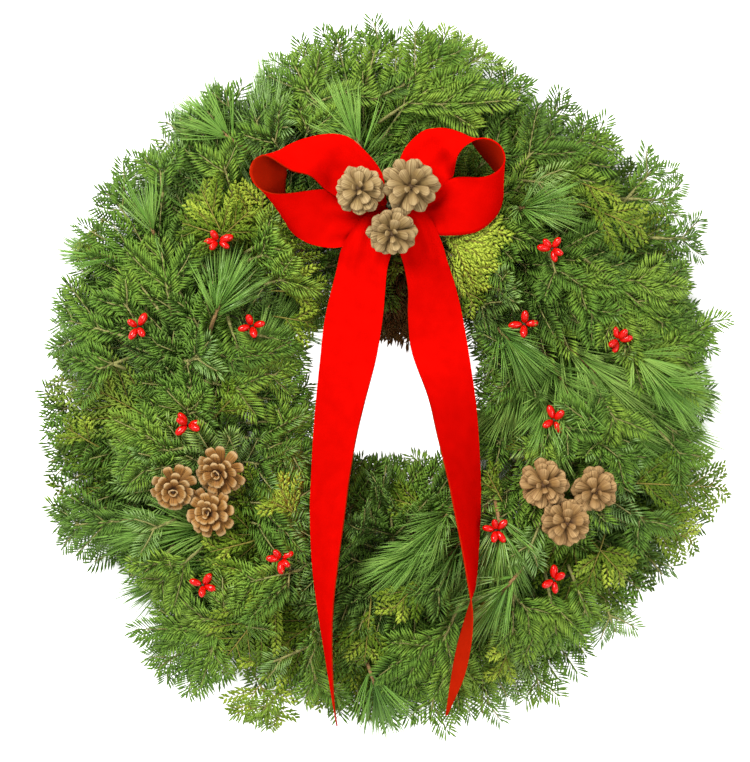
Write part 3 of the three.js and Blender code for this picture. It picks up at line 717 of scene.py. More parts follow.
@dataclass(frozen=True)
class WaxyLeaf(Finish):
    """Fresh needles and scale leaves: a waxy skin whose tone runs from deep to fresh green, with a pale
    underside. The deep end also serves as painted shade where a spray is given a dark tone.
    """

    deep: str = "#274806"
    middle: str = "#507c10"
    fresh: str = "#84a22a"
    tip: str = "#7b9b2c"
    pale: str = "#8ba274"
    shine: float = 0.16

    def material(self) -> Material:
        """Makes the material. The tone changes from twig to twig over about 45 mm.

        Returns:
            The new material.
        """
        material, tree, shader = self.start()
        marks = self.read_marks(tree)
        patches = self.grain(tree, size=45)
        parts = {0: marks.outputs["X"], 1: patches}
        added = add_node(tree, "ShaderNodeMath", {"operation": "ADD"}, parts)
        tone = self.shifted(tree, added.outputs[0], times=1.0, plus=-0.5)
        stops = [(0.05, linear(self.deep)), (0.5, linear(self.middle)), (0.95, linear(self.fresh))]
        ramp = add_node(tree, "ShaderNodeValToRGB", {"stops": stops}, {"Fac": tone})
        near_tip = self.shifted(tree, marks.outputs["Y"], times=0.55, plus=-0.15)
        tipped = self.blend(tree, near_tip, ramp.outputs["Color"], linear(self.tip))
        under = self.shifted(tree, marks.outputs["Z"], times=0.7, plus=0.0)
        tree.links.new(self.blend(tree, under, tipped, linear(self.pale)), shader.inputs["Base Color"])
        shader.inputs["Specular IOR Level"].default_value = self.shine
        return material


@dataclass(frozen=True)
class TwigBark(Finish):
    """Thin bark of a young twig, matt and finely cracked."""

    roughness: float = 0.8
    dark: str = "#666634"
    light: str = "#9b9858"

    def material(self) -> Material:
        """Makes the material, with flecks about 1.5 mm long.

        Returns:
            The new material.
        """
        material, tree, shader = self.start()
        flecks = self.grain(tree, size=1.5, detail=4)
        share = self.shifted(tree, flecks, times=2.2, plus=-0.6)
        colour = self.blend(tree, share, linear(self.dark), linear(self.light))
        tree.links.new(colour, shader.inputs["Base Color"])
        self.relief(tree, shader, flecks, depth=0.3)
        return material


@dataclass(frozen=True)
class ConeWood(Finish):
    """Dry woody scales of an open cone, matt, darker at their roots than on their worn tips. The dark root is
    partly the wood's own colour and partly painted shade under the scale above.
    """

    roughness: float = 0.78
    hollow_and_shade: str = "#33200b"
    face: str = "#8c723f"
    worn: str = "#b39a6b"
    streak: str = "#664a22"
    rim: str = "#755a30"
    streaks: float = 9.0

    def material(self) -> Material:
        """Makes the material, with streaks along each scale about 1.1 mm apart and blotches of 5 mm.

        The marks' third number goes from side to side of a scale, and differs from scale to scale.

        Returns:
            The new material.
        """
        material, tree, shader = self.start()
        marks = self.read_marks(tree)
        settings = {"noise_dimensions": "1D", "Scale": self.streaks, "Detail": 3.0}
        lined = add_node(tree, "ShaderNodeTexNoise", settings, {"W": marks.outputs["Z"]})
        fibres = self.grain(tree, size=0.9, detail=4)
        blotches = self.grain(tree, size=5)
        stops = [(0.16, linear(self.hollow_and_shade)), (0.46, linear(self.face)), (0.94, linear(self.worn))]
        settings = {"operation": "MULTIPLY_ADD", 1: 0.3}
        along = add_node(tree, "ShaderNodeMath", settings, {0: blotches, 2: marks.outputs["Y"]})
        place = self.shifted(tree, along.outputs[0], times=1.0, plus=-0.15)
        ramp = add_node(tree, "ShaderNodeValToRGB", {"stops": stops}, {"Fac": place})
        shade = self.shifted(tree, lined.outputs["Fac"], times=2.6, plus=-1.0)
        rough = self.blend(tree, shade, ramp.outputs["Color"], linear(self.streak))
        edge = self.shifted(tree, marks.outputs["X"], times=0.7, plus=0.0)
        tree.links.new(self.blend(tree, edge, rough, linear(self.rim)), shader.inputs["Base Color"])
        self.relief(tree, shader, fibres, depth=0.5)
        return material


@dataclass(frozen=True)
class BerryLacquer(Finish):
    """Glossy red lacquer over a moulded berry, which gives a sharp white highlight."""

    roughness: float = 0.16
    deep: str = "#b20501"
    bright: str = "#dc0a02"
    gloss: float = 0.25
    coat: float = 0.35
    coat_roughness: float = 0.03

    def material(self) -> Material:
        """Makes the material, with cloudy patches of 4 mm under a clear coat.

        Returns:
            The new material.
        """
        material, tree, shader = self.start()
        clouds = self.grain(tree, size=4)
        share = self.shifted(tree, clouds, times=1.6, plus=-0.3)
        colour = self.blend(tree, share, linear(self.deep), linear(self.bright))
        tree.links.new(colour, shader.inputs["Base Color"])
        shader.inputs["Coat Weight"].default_value = self.coat
        shader.inputs["Specular IOR Level"].default_value = self.gloss
        shader.inputs["Coat Roughness"].default_value = self.coat_roughness
        return material


@dataclass(frozen=True)
class Velvet(Finish):
    """Red velvet: a short pile that is deep where it is seen from above and glows at its edges."""

    roughness: float = 0.9
    shade: str = "#b80401"
    pile: str = "#cc0602"
    sheen: float = 0.03
    sheen_roughness: float = 0.4
    sheen_tint: str = "#ff2a14"

    def material(self) -> Material:
        """Makes the material. The real pile, about 0.1 mm, is drawn at 0.7 mm so that it shows.

        Returns:
            The new material.
        """
        material, tree, shader = self.start()
        pile = self.grain(tree, size=0.7, detail=3)
        brushed = self.grain(tree, size=14)
        share = self.shifted(tree, brushed, times=1.4, plus=-0.2)
        colour = self.blend(tree, share, linear(self.shade), linear(self.pile))
        tree.links.new(colour, shader.inputs["Base Color"])
        shader.inputs["Specular IOR Level"].default_value = 0.0
        shader.inputs["Sheen Weight"].default_value = self.sheen
        shader.inputs["Sheen Roughness"].default_value = self.sheen_roughness
        shader.inputs["Sheen Tint"].default_value = linear(self.sheen_tint)
        self.relief(tree, shader, pile, depth=0.12)
        return material


@dataclass(frozen=True)
class DrawnWire(Finish):
    """Steel wire, drawn through a die: bright for florist wire, or under green lacquer."""

    roughness: float = 0.35
    metallic: float = 1.0
    bright: str = "#b9b8b0"
    dull: str = "#86857d"

    def material(self) -> Material:
        """Makes the material, with dull patches of 3 mm from handling.

        Returns:
            The new material.
        """
        material, tree, shader = self.start()
        patches = self.grain(tree, size=3, detail=3)
        colour = self.blend(tree, patches, linear(self.dull), linear(self.bright))
        tree.links.new(colour, shader.inputs["Base Color"])
        shader.inputs["Metallic"].default_value = self.metallic
        return material


@dataclass(frozen=True)
class PaleFloor(Finish):
    """Matt white paper with a painted glow: it glows white in the hole and outside the wreath, and not where
    the ring covers it.
    """

    roughness: float = 0.9
    colour: str = "#f6f6f5"
    painted_glow_radii: tuple[float, float, float, float] = (0.085, 0.105, 0.27, 0.3)

    def material(self) -> Material:
        """Makes the material. The painted glow is set by distance from the ring's middle: on in the hole, off
        under the ring, on again outside.

        Returns:
            The new material.
        """
        material, tree, shader = self.start()
        shader.inputs["Base Color"].default_value = linear(self.colour)
        spot = add_node(tree, "ShaderNodeTexCoord").outputs["Object"]
        distance = add_node(tree, "ShaderNodeVectorMath", {"operation": "LENGTH"}, {0: spot})
        lit, unlit = linear("#ffffff"), linear("#000000")
        levels = (lit, unlit, unlit, lit)
        stops = list(zip(self.painted_glow_radii, levels))
        glow = add_node(tree, "ShaderNodeValToRGB", {"stops": stops}, {"Fac": distance.outputs["Value"]})
        # Painted glow: the paper gives out white light, though it is no lamp.
        shader.inputs["Emission Color"].default_value = lit
        tree.links.new(glow.outputs["Color"], shader.inputs["Emission Strength"])
        return material


@dataclass(frozen=True)
class NeedleForm:
    """A flat needle or a scaly twiglet: three-sided, pointed, with its keel below.

    Each station is a share of the length and of the width. The under fields say how much the root,
    the three points of a station and the tip belong to the pale underside.
    """

    width: float
    thickness: float
    stations: tuple[Pair, ...]
    under_root: float = 0.3
    under_station: tuple[float, float, float] = (0.15, 0.15, 1.0)
    under_tip: float = 0.2

    def faces(self) -> Array:
        """Gives the triangles of one needle, by point number.

        Returns:
            Rows of three point numbers.
        """
        after = ((0, 1), (1, 2), (2, 0))
        rows = [(0, 1 + b, 1 + a) for a, b in after]
        for ring in range(len(self.stations) - 1):
            first = 1 + ring * 3
            for a, b in after:
                rows += [(first + a, first + b, first + b + 3), (first + a, first + b + 3, first + a + 3)]
        last = 1 + (len(self.stations) - 1) * 3
        rows += [(last + a, last + b, last + 3) for a, b in after]
        return np.array(rows)

    def mark(self, tones: Array, along: float, under: float) -> Array:
        """Gives the mark of one point of every needle."""
        return np.stack([tones, np.full_like(tones, along), np.full_like(tones, under)], axis=-1)

    def grow(
        self,
        mesh: PieceMesh,
        roots: Array,
        forward: Array,
        upward: Array,
        lengths: Array,
        bend: Array,
        tones: Array,
    ) -> None:
        """Adds needles to a piece.

        Args:
            mesh: the piece to add to.
            roots: where each one grows from.
            forward: the unit vector that each one points along.
            upward: which way the flat side faces, for each.
            lengths: the length of each, in millimetres.
            bend: how far each tip leaves the straight line, as a vector.
            tones: the tone of each.
        """
        right = unit(np.cross(forward, upward))
        lift = np.cross(right, forward)
        places = [roots]
        marks = [self.mark(tones, 0.0, self.under_root)]
        for share, wide in self.stations:
            middle = roots + forward * (lengths * share)[:, None] + bend * share**2
            half = right * (self.width * wide / 2)
            places += [middle - half, middle + half, middle - lift * (self.thickness * wide)]
            marks += [self.mark(tones, share, under) for under in self.under_station]
        places.append(roots + forward * lengths[:, None] + bend)
        marks.append(self.mark(tones, 1.0, self.under_tip))
        mesh.add(np.stack(places, axis=1), self.faces(), np.stack(marks, axis=1))


@dataclass(frozen=True)
class Sprig:
    """One stem of a branch: it leaves the tied bundle and sweeps clockwise, outward or inward."""

    node: str
    kind: Kind
    tier: Tier
    start: float
    sweep: float
    lane: float
    reach: float
    middle: float
    tip: float
    lane_height: float
    sweep_curve: float = 1.6
    reach_curve: float = 1.1

    def strand(self, upward: Array, past: float) -> Strand:
        """Gives the stem's line.

        Args:
            upward: which way its upper side faces.
            past: where it ends, as a share of its packed length.

        Returns:
            The line, from the tied bundle outward.
        """
        u = np.linspace(0, past, 24)
        inside = np.minimum(u, 1.0)
        degrees = self.start - self.sweep * (1 - (1 - inside) ** self.sweep_curve)
        radius = mix(self.lane, self.reach, u**self.reach_curve)
        rise = 4 * self.middle * u * (1 - u) + self.tip * u * (2 * u - 1)
        return Strand(polar(degrees, radius, self.lane_height * (1 - u) * (1 - 2 * u) + rise), upward)


@dataclass(frozen=True)
class TierPlan:
    """How the branches of one tier are tied and how far their sprigs reach.

    Each sprig has the angle where it leaves, its reach from the ring's middle, and its heights
    halfway and at its tip. The kinds are the first letters, station by station.
    """

    lane: float
    sweep: float
    sprigs: tuple[tuple[float, float, float, float], ...]
    kinds: str


OUTER_PLAN = TierPlan(144.5, 28, ((7, 312, 26, 22), (16, 307, 38, 36), (25, 298, 52, 50)), "ffcpcfcpcfp")
FACE_PLAN = TierPlan(133, 30, ((6, 244, 64, 62), (15, 222, 72, 72), (24, 198, 70, 76)), "pffpfpfcffc")
INNER_PLAN = TierPlan(121.5, 26, ((9, 84, 42, 46), (23, 76, 30, 28)), "fcfpfffffpf")


@dataclass
class BranchPlan:
    """The places of every berry and sprig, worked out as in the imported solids."""

    rule: SeededRule = field(default_factory=SeededRule)
    stations: int = 11
    first_station: float = 135.0
    lane_start: float = 1.0
    lane_length: float = 29.0
    lane_height: float = 5.85
    inner_past: float = 26.0
    reach_at_top: float = 1.05
    leave_jitter: float = 1
    reach_jitter: float = 7
    height_jitter: float = 3
    past: dict = field(default_factory=lambda: {Kind.FIR: 14.0, Kind.PINE: 52.0, Kind.CEDAR: 20.0})
    tiers: dict = field(
        default_factory=lambda: {Tier.OUTER: OUTER_PLAN, Tier.FACE: FACE_PLAN, Tier.INNER: INNER_PLAN}
    )

    def station_angle(self, station: int) -> float:
        """Gives the angle of a station, anticlockwise from the right."""
        return self.first_station - station * 360 / self.stations

    def lane_line(self, tier: Tier, station: int) -> Array:
        """Gives the line that a branch's cut stems lie along, under their clamp."""
        turns = self.station_angle(station) - self.lane_start - np.linspace(0, self.lane_length, 7)
        return polar(turns, self.tiers[tier].lane, self.lane_height)

    def past_packed(self, kind: Kind, tier: Tier) -> float:
        """Gives how far a kind's needles go past the end of its stem, in millimetres."""
        return min(self.past[kind], self.inner_past) if tier is Tier.INNER else self.past[kind]

    def sprigs(self) -> list[Sprig]:
        """Works out every sprig. The berries' draws come first.

        Returns:
            The sprigs, branch by branch.
        """
        kinds = {kind.value[0]: kind for kind in Kind}
        made = []
        for tier, plan in self.tiers.items():
            for station in range(self.stations):
                kind = kinds[plan.kinds[station]]
                node = f"{kind.value}_{tier.value}_{station + 1:02d}"
                for leave, reach, middle, tip in plan.sprigs:
                    leaves_at = leave + self.rule.jitter(self.leave_jitter)
                    start = self.station_angle(station) - (self.lane_start + leaves_at)
                    outward = 1 if reach > plan.lane else -1
                    top = math.sin(math.radians(start - plan.sweep)) ** 2
                    stretch = mix(1, self.reach_at_top, top) if tier is Tier.OUTER else 1
                    far = reach * stretch + self.rule.jitter(self.reach_jitter)
                    far -= outward * self.past_packed(kind, tier)
                    high = middle + self.rule.jitter(self.height_jitter)
                    end = tip + self.rule.jitter(self.height_jitter)
                    places = (start, plan.sweep, plan.lane, far, high, end, self.lane_height)
                    made.append(Sprig(node, kind, tier, *places))
        return made


STEM_POINTS = 12


@dataclass(frozen=True)
class Shoot:
    """What a spray grows on: its stem, the share of it that is bare, its tone and how full it is."""

    stem: Strand
    bare: float
    tone: float
    full: float = 1.0


@dataclass
class FirHabit:
    """How balsam fir grows: flat sprays of twigs in pairs, each with needles in two ranks.

    Needles are shorter at a twig's root and end. A third, shorter rank stands along the top.
    """

    spacing: float = 2.6
    shortest: float = 14.0
    longest: float = 18.0
    needle: NeedleForm = NeedleForm(1.95, 0.8, ((0.66, 1.0),))
    first_needle: float = 2.5
    past_end: float = 0.5
    uneven: float = 0.3
    root_zone: float = 10.0
    root_length: float = 0.75
    end_zone: float = 14.0
    end_length: float = 0.74
    leans: Pair = (26.0, 60.0)
    lean_curve: float = 0.6
    lean_spread: float = 2.5
    side_rise: Pair = (2, 11)
    crown_rise: Pair = (44, 72)
    crown_lean: float = 0.66
    crown_share: float = 0.5
    crown_gap: float = 6.0
    needle_bend: float = 0.1
    needle_roll: float = 0.16
    needle_tones: float = 0.06
    bark_step: float = 14.0
    bark_taper: float = 0.6
    bud_from: float = 1.2
    bud_places: Row = (0.0, 1.3, 3.2)
    bud_radii: Row = (0.5, 1.2, 0.2)
    fork: Fork = Fork()
    stem_radius: float = 1.5
    leader_radius: float = 1.3
    twig_radius: float = 0.8
    small_radius: float = 0.6
    first_pair: float = 15.0
    last_pair: float = 3.0
    pair_gap: float = 26.0
    gap_range: Pair = (0.88, 1.12)
    pair_offset: float = 3.0
    missing: float = 0.06
    twig_growth: float = 0.62
    twig_extra: float = 18.0
    twig_longest: float = 62.0
    twig_range: Pair = (0.82, 1.14)
    twig_tones: float = 0.08
    forked_from: float = 44.0
    forked_at: Pair = (0.36, 0.46)
    small_share: float = 0.42

    def feather(
        self, mesh: PieceMesh, strand: Strand, radius: float, tone: float, rng: Random
    ) -> None:
        """Puts bark and needles on one twig, and a bud on a leading one.

        Args:
            mesh: the piece to add to.
            strand: the twig's line.
            radius: its radius at its root, in millimetres.
            tone: the tone of its needles.
            rng: seeded numbers.
        """
        steps = max(3, int(strand.length / self.bark_step) + 2)
        line = strand.point(np.linspace(0, strand.length, steps))
        mesh.add_rod(line, np.linspace(radius, radius * self.bark_taper, steps), sides=4)
        if radius > self.bud_from:
            end = np.array([strand.length])
            bud = strand.point(end) + strand.frame(end)[1] * np.array(self.bud_places)[:, None]
            mesh.add_rod(bud, np.array(self.bud_radii), sides=4)
        for turn in (1, -1, 0):
            self.rank(mesh, strand, turn, tone, rng)

    def rank(
        self, mesh: PieceMesh, strand: Strand, turn: int, tone: float, rng: Random
    ) -> None:
        """Adds one rank of needles to a twig.

        Args:
            mesh: the piece to add to.
            strand: the twig's line.
            turn: 1 for the rank on the right, -1 for the left, 0 for the one along the top.
            tone: the tone of the needles.
            rng: seeded numbers.
        """
        gap = self.spacing if turn else self.crown_gap
        along = np.arange(self.first_needle, strand.length + self.past_end, gap)
        count = len(along)
        if count == 0:
            return
        along = along + rng.uniform(-self.uneven, self.uneven, count)
        roots, forward, right, lift = strand.frame(along)
        end = np.clip((strand.length - along) / self.end_zone, 0, 1)
        lean = np.radians(mix(*self.leans, end**self.lean_curve) + rng.normal(0, self.lean_spread, count))
        lengths = rng.uniform(self.shortest, self.longest, count) * mix(self.end_length, 1.0, end)
        if turn:
            sideways = right * turn
            rise = np.radians(rng.uniform(*self.side_rise, count))
        else:
            sideways = right * rng.choice([-1, 1], count)[:, None]
            rise = np.radians(rng.uniform(*self.crown_rise, count))
            lean = lean * self.crown_lean
            lengths = lengths * self.crown_share
        outward = sideways * np.cos(rise)[:, None] + lift * np.sin(rise)[:, None]
        pointing = unit(forward * np.cos(lean)[:, None] + outward * np.sin(lean)[:, None])
        lengths = lengths * mix(self.root_length, 1.0, np.clip(along / self.root_zone, 0, 1))
        bend = forward * (lengths * self.needle_bend)[:, None]
        tones = varied(tone, self.needle_tones, rng, count)
        roll = unit(lift + right * rng.normal(0, self.needle_roll, count)[:, None])
        self.needle.grow(mesh, roots, pointing, roll, lengths, bend, tones)

    def spray(self, mesh: PieceMesh, shoot: Shoot, rng: Random) -> None:
        """Grows a flat spray of twigs along a stem.

        Args:
            mesh: the piece to add to.
            shoot: the stem. How full it is says how long its side twigs are.
            rng: seeded numbers.
        """
        stem = shoot.stem
        bare = stem.length * shoot.bare
        visible = stem.part(bare, 14)
        mesh.add_rod(stem.point(np.linspace(0, bare, 6)), np.full(6, self.stem_radius), sides=5)
        self.feather(mesh, visible, self.leader_radius, shoot.tone, rng)
        back = self.first_pair
        while back < visible.length - self.last_pair:
            for turn in (-1, 1):
                if rng.random() < self.missing:
                    continue
                length = min(self.twig_growth * (back + self.twig_extra), self.twig_longest)
                length = length * shoot.full * rng.uniform(*self.twig_range)
                at = visible.length - back + rng.uniform(-self.pair_offset, self.pair_offset)
                twig = self.fork.twig(visible, at, turn, length, rng)
                shade = varied(shoot.tone, self.twig_tones, rng)
                self.feather(mesh, twig, self.twig_radius, shade, rng)
                if length > self.forked_from:
                    for other in (-1, 1):
                        at = length * rng.uniform(*self.forked_at)
                        small = self.fork.twig(twig, at, other, length * self.small_share, rng)
                        self.feather(mesh, small, self.small_radius, shade, rng)
            back += self.pair_gap * rng.uniform(*self.gap_range)


@dataclass
class PineHabit:
    """How white pine grows: bundles of five long fine needles round the end of a stem."""

    bundles: int = 60
    in_bundle: int = 5
    shortest: float = 50.0
    longest: float = 66.0
    root_length: float = 0.86
    first_needles: float = 0.5
    crowding: float = 0.75
    flatness: float = 0.6
    lifted: float = 0.12
    leans: Pair = (38.0, 8.0)
    lean_spread: float = 6.0
    stray: float = 0.06
    droop: Pair = (0.03, 0.14)
    sway: float = 0.07
    needle_bend: float = 0.06
    bundle_tones: float = 0.14
    stem_radii: Pair = (1.9, 1.3)
    needle: NeedleForm = NeedleForm(0.88, 0.55, ((0.12, 1.0), (0.42, 1.0), (0.72, 0.9)))

    def spray(self, mesh: PieceMesh, shoot: Shoot, rng: Random) -> None:
        """Grows a tuft of long needles on a stem.

        Args:
            mesh: the piece to add to.
            shoot: the stem. How full it is says how many needles it has.
            rng: seeded numbers.
        """
        stem = shoot.stem
        mesh.add_rod(stem.part(0.0, STEM_POINTS).points, np.linspace(*self.stem_radii, STEM_POINTS), sides=5)
        bundles = int(self.bundles * shoot.full)
        order = np.arange(bundles).repeat(self.in_bundle)
        count = len(order)
        share = order / (bundles - 1)
        along = mix(max(shoot.bare, self.first_needles), 1.0, share**self.crowding) * stem.length
        roots, forward, right, lift = stem.frame(along)
        turn = np.radians(order * GOLDEN_TURN)
        leaning = rng.normal(0, self.lean_spread, bundles).repeat(self.in_bundle)
        lean = np.radians(mix(*self.leans, share) + leaning)
        around = right * np.cos(turn)[:, None] + lift * (np.sin(turn) * self.flatness + self.lifted)[:, None]
        pointing = forward * np.cos(lean)[:, None] + around * np.sin(lean)[:, None]
        pointing = unit(pointing + rng.normal(0, self.stray, (count, 3)))
        lengths = rng.uniform(self.shortest, self.longest, count) * mix(self.root_length, 1.0, share)
        droop = DOWN * (lengths * rng.uniform(*self.droop, count))[:, None]
        sway = right * (lengths * rng.normal(0, self.sway, bundles).repeat(self.in_bundle))[:, None]
        bend = forward * (lengths * self.needle_bend)[:, None] + droop + sway
        shades = rng.normal(0, self.bundle_tones, bundles).repeat(self.in_bundle)
        tones = np.clip(shoot.tone + shades, 0, 1)
        self.needle.grow(mesh, roots, pointing, lift, lengths, bend, tones)


@dataclass
class CedarHabit:
    """How white cedar grows: flat sprays of narrow ferny fronds, covered in tiny scale leaves.

    A frond is narrow at its foot, widest at a quarter of its length, and tapers past its middle.
    Each twiglet is given by its side and by its place along the branch.
    """

    first_frond: float = 9.0
    frond_gap: float = 9.5
    gap_range: Pair = (0.85, 1.15)
    frond_growth: float = 0.72
    frond_extra: float = 9.0
    frond_longest: float = 48.0
    frond_range: Pair = (0.85, 1.12)
    frond_tones: float = 0.13
    first_branch: float = 2.0
    branch_gap: float = 2.7
    branch_longest: float = 11.0
    branch_range: Pair = (0.85, 1.1)
    branch_angle: Pair = (40, 3)
    branch_rise: Pair = (0.02, 0.04)
    branch_bend: float = 0.2
    branch_droop: float = 0.05
    branch_tones: float = 0.04
    branch: NeedleForm = NeedleForm(2.4, 0.7, ((0.25, 1.0), (0.7, 0.85)))
    foot_width: float = 0.7
    widest_at: float = 0.25
    taper_from: float = 0.4
    taper: float = 0.65
    taper_curve: float = 1.3
    twiglet: NeedleForm = NeedleForm(1.9, 0.6, ((0.5, 1.0),))
    twiglet_share: float = 0.36
    twiglet_places: tuple[tuple[int, float], ...] = ((1, 0.3), (-1, 0.45))
    twiglet_aim: Pair = (0.78, 0.62)
    twiglet_size: Pair = (1.15, 0.5)
    twiglet_bend: float = 0.2
    stem_radii: Pair = (0.9, 0.3)
    frond_radii: Row = (0.5, 0.4, 0.25)
    fork: Fork = Fork()

    def spray(self, mesh: PieceMesh, shoot: Shoot, rng: Random) -> None:
        """Grows a frond along a stem, with others on both sides of it by turns.

        Args:
            mesh: the piece to add to.
            shoot: the stem. How full it is says how long its side fronds are.
            rng: seeded numbers.
        """
        stem = shoot.stem
        mesh.add_rod(stem.part(0.0, STEM_POINTS).points, np.linspace(*self.stem_radii, STEM_POINTS), sides=5)
        main = stem.part(stem.length * shoot.bare, 16)
        self.frond(mesh, main, shoot.tone, rng)
        turn = 1
        back = self.first_frond
        while back < main.length:
            length = min(self.frond_growth * back + self.frond_extra, self.frond_longest)
            length = length * shoot.full * rng.uniform(*self.frond_range)
            side = self.fork.twig(main, main.length - back, turn, length, rng)
            mesh.add_rod(side.points[::2], np.array(self.frond_radii), sides=3)
            self.frond(mesh, side, varied(shoot.tone, self.frond_tones, rng), rng)
            turn = -turn
            back += self.frond_gap * rng.uniform(*self.gap_range)

    def frond(self, mesh: PieceMesh, strand: Strand, tone: float, rng: Random) -> None:
        """Adds the branches of one frond, each with a scaly twiglet on either side.

        Args:
            mesh: the piece to add to.
            strand: the frond's line.
            tone: the tone of its branches.
            rng: seeded numbers.
        """
        along = np.arange(self.first_branch, strand.length, self.branch_gap)
        count = len(along)
        if count < 2:
            return
        turn = np.where(np.arange(count) % 2 == 0, 1, -1)
        share = along / strand.length
        rising = mix(self.foot_width, 1.0, np.clip(share / self.widest_at, 0, 1))
        tapering = np.clip((share - self.taper_from) / (1 - self.taper_from), 0, 1)
        falling = 1 - self.taper * tapering**self.taper_curve
        lengths = self.branch_longest * rising * falling * rng.uniform(*self.branch_range, count)
        roots, forward, right, lift = strand.frame(along)
        angle = np.radians(rng.normal(*self.branch_angle, count))
        out = forward * np.cos(angle)[:, None] + right * (turn * np.sin(angle))[:, None]
        out = unit(out + lift * rng.normal(*self.branch_rise, count)[:, None])
        bend = forward * (lengths * self.branch_bend)[:, None] - lift * (lengths * self.branch_droop)[:, None]
        tones = varied(tone, self.branch_tones, rng, count)
        self.branch.grow(mesh, roots, out, lift, lengths, bend, tones)
        ahead, beside = self.twiglet_aim
        whole, less = self.twiglet_size
        for side, place in self.twiglet_places:
            start = roots + out * (lengths * place)[:, None] + bend * place**2
            across = unit(np.cross(out, lift)) * side
            pointing = unit(out * ahead + across * beside)
            size = lengths * self.twiglet_share * (whole - less * place)
            self.twiglet.grow(mesh, start, pointing, lift, size, bend * self.twiglet_bend, tones)


@dataclass(frozen=True)
class ShownSpray:
    """A spray on top that the photograph shows, from its stem's foot to its tip, in pixels.

    Its stem comes up from below along the foot curve, whose points are given by how far back and
    how far down they are, as shares of the buried length.
    """

    kind: Kind
    foot: Pair
    tip: list[float]
    tone: float = 0.5
    full: float = 1.0
    sunk: float = 10.0
    turned_over: bool = False
    bare: float = 22.0
    buried: float = 22.0
    foot_curve: tuple[Pair, ...] = ((0.7, 0.7), (0.35, 0.2))
    needles_past: float = 11.0
    most_past: float = 0.35
    arch: float = 7.0
    lowest: float = 8.0

    def strand(self, view: PhotoView, dome: Dome) -> Strand:
        """Gives the stem's line: up out of the foliage, then along just under its surface.

        Args:
            view: where the pixels are.
            dome: the foliage's surface.

        Returns:
            The line, with its upper side facing the way that the foliage's surface does.
        """
        rows = []
        pixels = math.dist(self.foot, self.tip)
        past = min(self.needles_past / view.pixel / pixels, self.most_past)
        if self.kind is Kind.PINE:
            past = 0.0
        for share in np.linspace(0, 1 - past, 9):
            x = mix(self.foot[0], self.tip[0], share)
            y = mix(self.foot[1], self.tip[1], share)
            height = float(dome.height(view.at(x, y, view.rim_height))) - self.sunk
            rows.append(view.at(x, y, max(height + self.arch * math.sin(share * math.pi), self.lowest)))
        shown = np.array(rows)
        heading = unit(shown[1] - shown[0])
        below = [
            shown[0] - heading * self.buried * back + DOWN * self.buried * down
            for back, down in self.foot_curve
        ]
        upward = dome.normal(shown.mean(axis=0))
        return Strand(np.concatenate([below, shown]), -upward if self.turned_over else upward)


# Each row is a stem's foot and tip in pixels across and down the photograph. A third value is
# how full a pine tuft is, the tone of a cedar spray, or how deep a dry one is sunk, in millimetres.
FIR_SHOWN = (
    (315, 103, 285, 48), (315, 103, 370, 83), (306, 137, 315, 103), (264, 145, 249, 99),
    (279, 149, 260, 119), (230, 185, 217, 145), (133, 204, 106, 176), (169, 302, 159, 234),
    (155, 305, 122, 259), (133, 316, 110, 282), (192, 360, 214, 337), (113, 364, 71, 346),
    (113, 364, 76, 378), (120, 335, 53, 316), (255, 247, 287, 231), (255, 258, 289, 247),
    (273, 282, 306, 273), (369, 73, 381, 32), (162, 190, 159, 149), (394, 112, 495, 48), (444, 75, 445, 34),
    (380, 96, 426, 75), (460, 116, 456, 80), (527, 158, 568, 121), (568, 149, 603, 128),
    (630, 195, 665, 156), (633, 199, 685, 201), (587, 261, 681, 339), (572, 277, 605, 302),
    (577, 298, 610, 335), (623, 351, 656, 380), (552, 261, 564, 298), (479, 302, 502, 325),
    (628, 341, 649, 351), (688, 323, 720, 339), (660, 238, 706, 240), (188, 414, 188, 387),
    (188, 414, 217, 406), (177, 449, 110, 456), (129, 520, 55, 527), (166, 557, 154, 580),
    (191, 557, 145, 596), (225, 623, 149, 674), (225, 623, 179, 614), (225, 623, 267, 589),
    (289, 573, 228, 587), (289, 573, 287, 607), (287, 436, 295, 402), (287, 436, 283, 472),
    (283, 688, 248, 727), (319, 639, 303, 651), (312, 665, 322, 706), (597, 441, 582, 392),
    (597, 441, 602, 467), (606, 442, 639, 474), (564, 424, 584, 447), (600, 394, 628, 442),
    (669, 442, 695, 472), (550, 433, 527, 465), (513, 603, 512, 653), (518, 600, 545, 630),
    (549, 591, 560, 656), (575, 582, 594, 633), (633, 506, 656, 541), (454, 617, 414, 706),
    (447, 575, 421, 612), (401, 651, 402, 701), (250, 350, 296, 358), (246, 372, 298, 378),
    (262, 336, 312, 347), (258, 350, 308, 362), (212, 350, 254, 371), (217, 384, 264, 395),
    (231, 328, 246, 374), (634, 306, 698, 298), (645, 354, 708, 361), (640, 292, 692, 282),
)
FIR_AT_HOLE = (
    (262, 398, 318, 402), (264, 422, 320, 418), (262, 440, 316, 446), (258, 464, 312, 470),
    (518, 336, 470, 344), (522, 358, 473, 365), (520, 384, 477, 392), (372, 520, 360, 452),
    (392, 525, 386, 455), (412, 524, 411, 456), (432, 518, 434, 450), (350, 512, 344, 452),
    (248, 502, 316, 508), (256, 524, 312, 540),
)
FIR_TURNED_OVER = (
    (271, 128, 292, 110), (527, 181, 564, 185), (495, 289, 522, 288), (161, 460, 140, 472),
    (163, 525, 131, 538), (294, 653, 255, 669), (538, 529, 520, 571), (605, 603, 619, 642),
    (192, 360, 221, 354),
)
PINE_SHOWN = (
    (238, 144, 214, 126, 0.7), (154, 234, 148, 218, 0.35), (214, 319, 225, 290, 0.7),
    (126, 259, 96, 254, 0.35), (370, 165, 345, 120, 0.8), (520, 208, 535, 207, 0.7),
    (495, 325, 518, 352, 0.7), (651, 380, 672, 390, 0.9), (632, 352, 652, 368, 0.6),
    (449, 511, 438, 530, 0.6), (497, 509, 504, 548, 0.5), (520, 571, 492, 604, 0.6),
    (368, 665, 378, 694, 0.5),
)
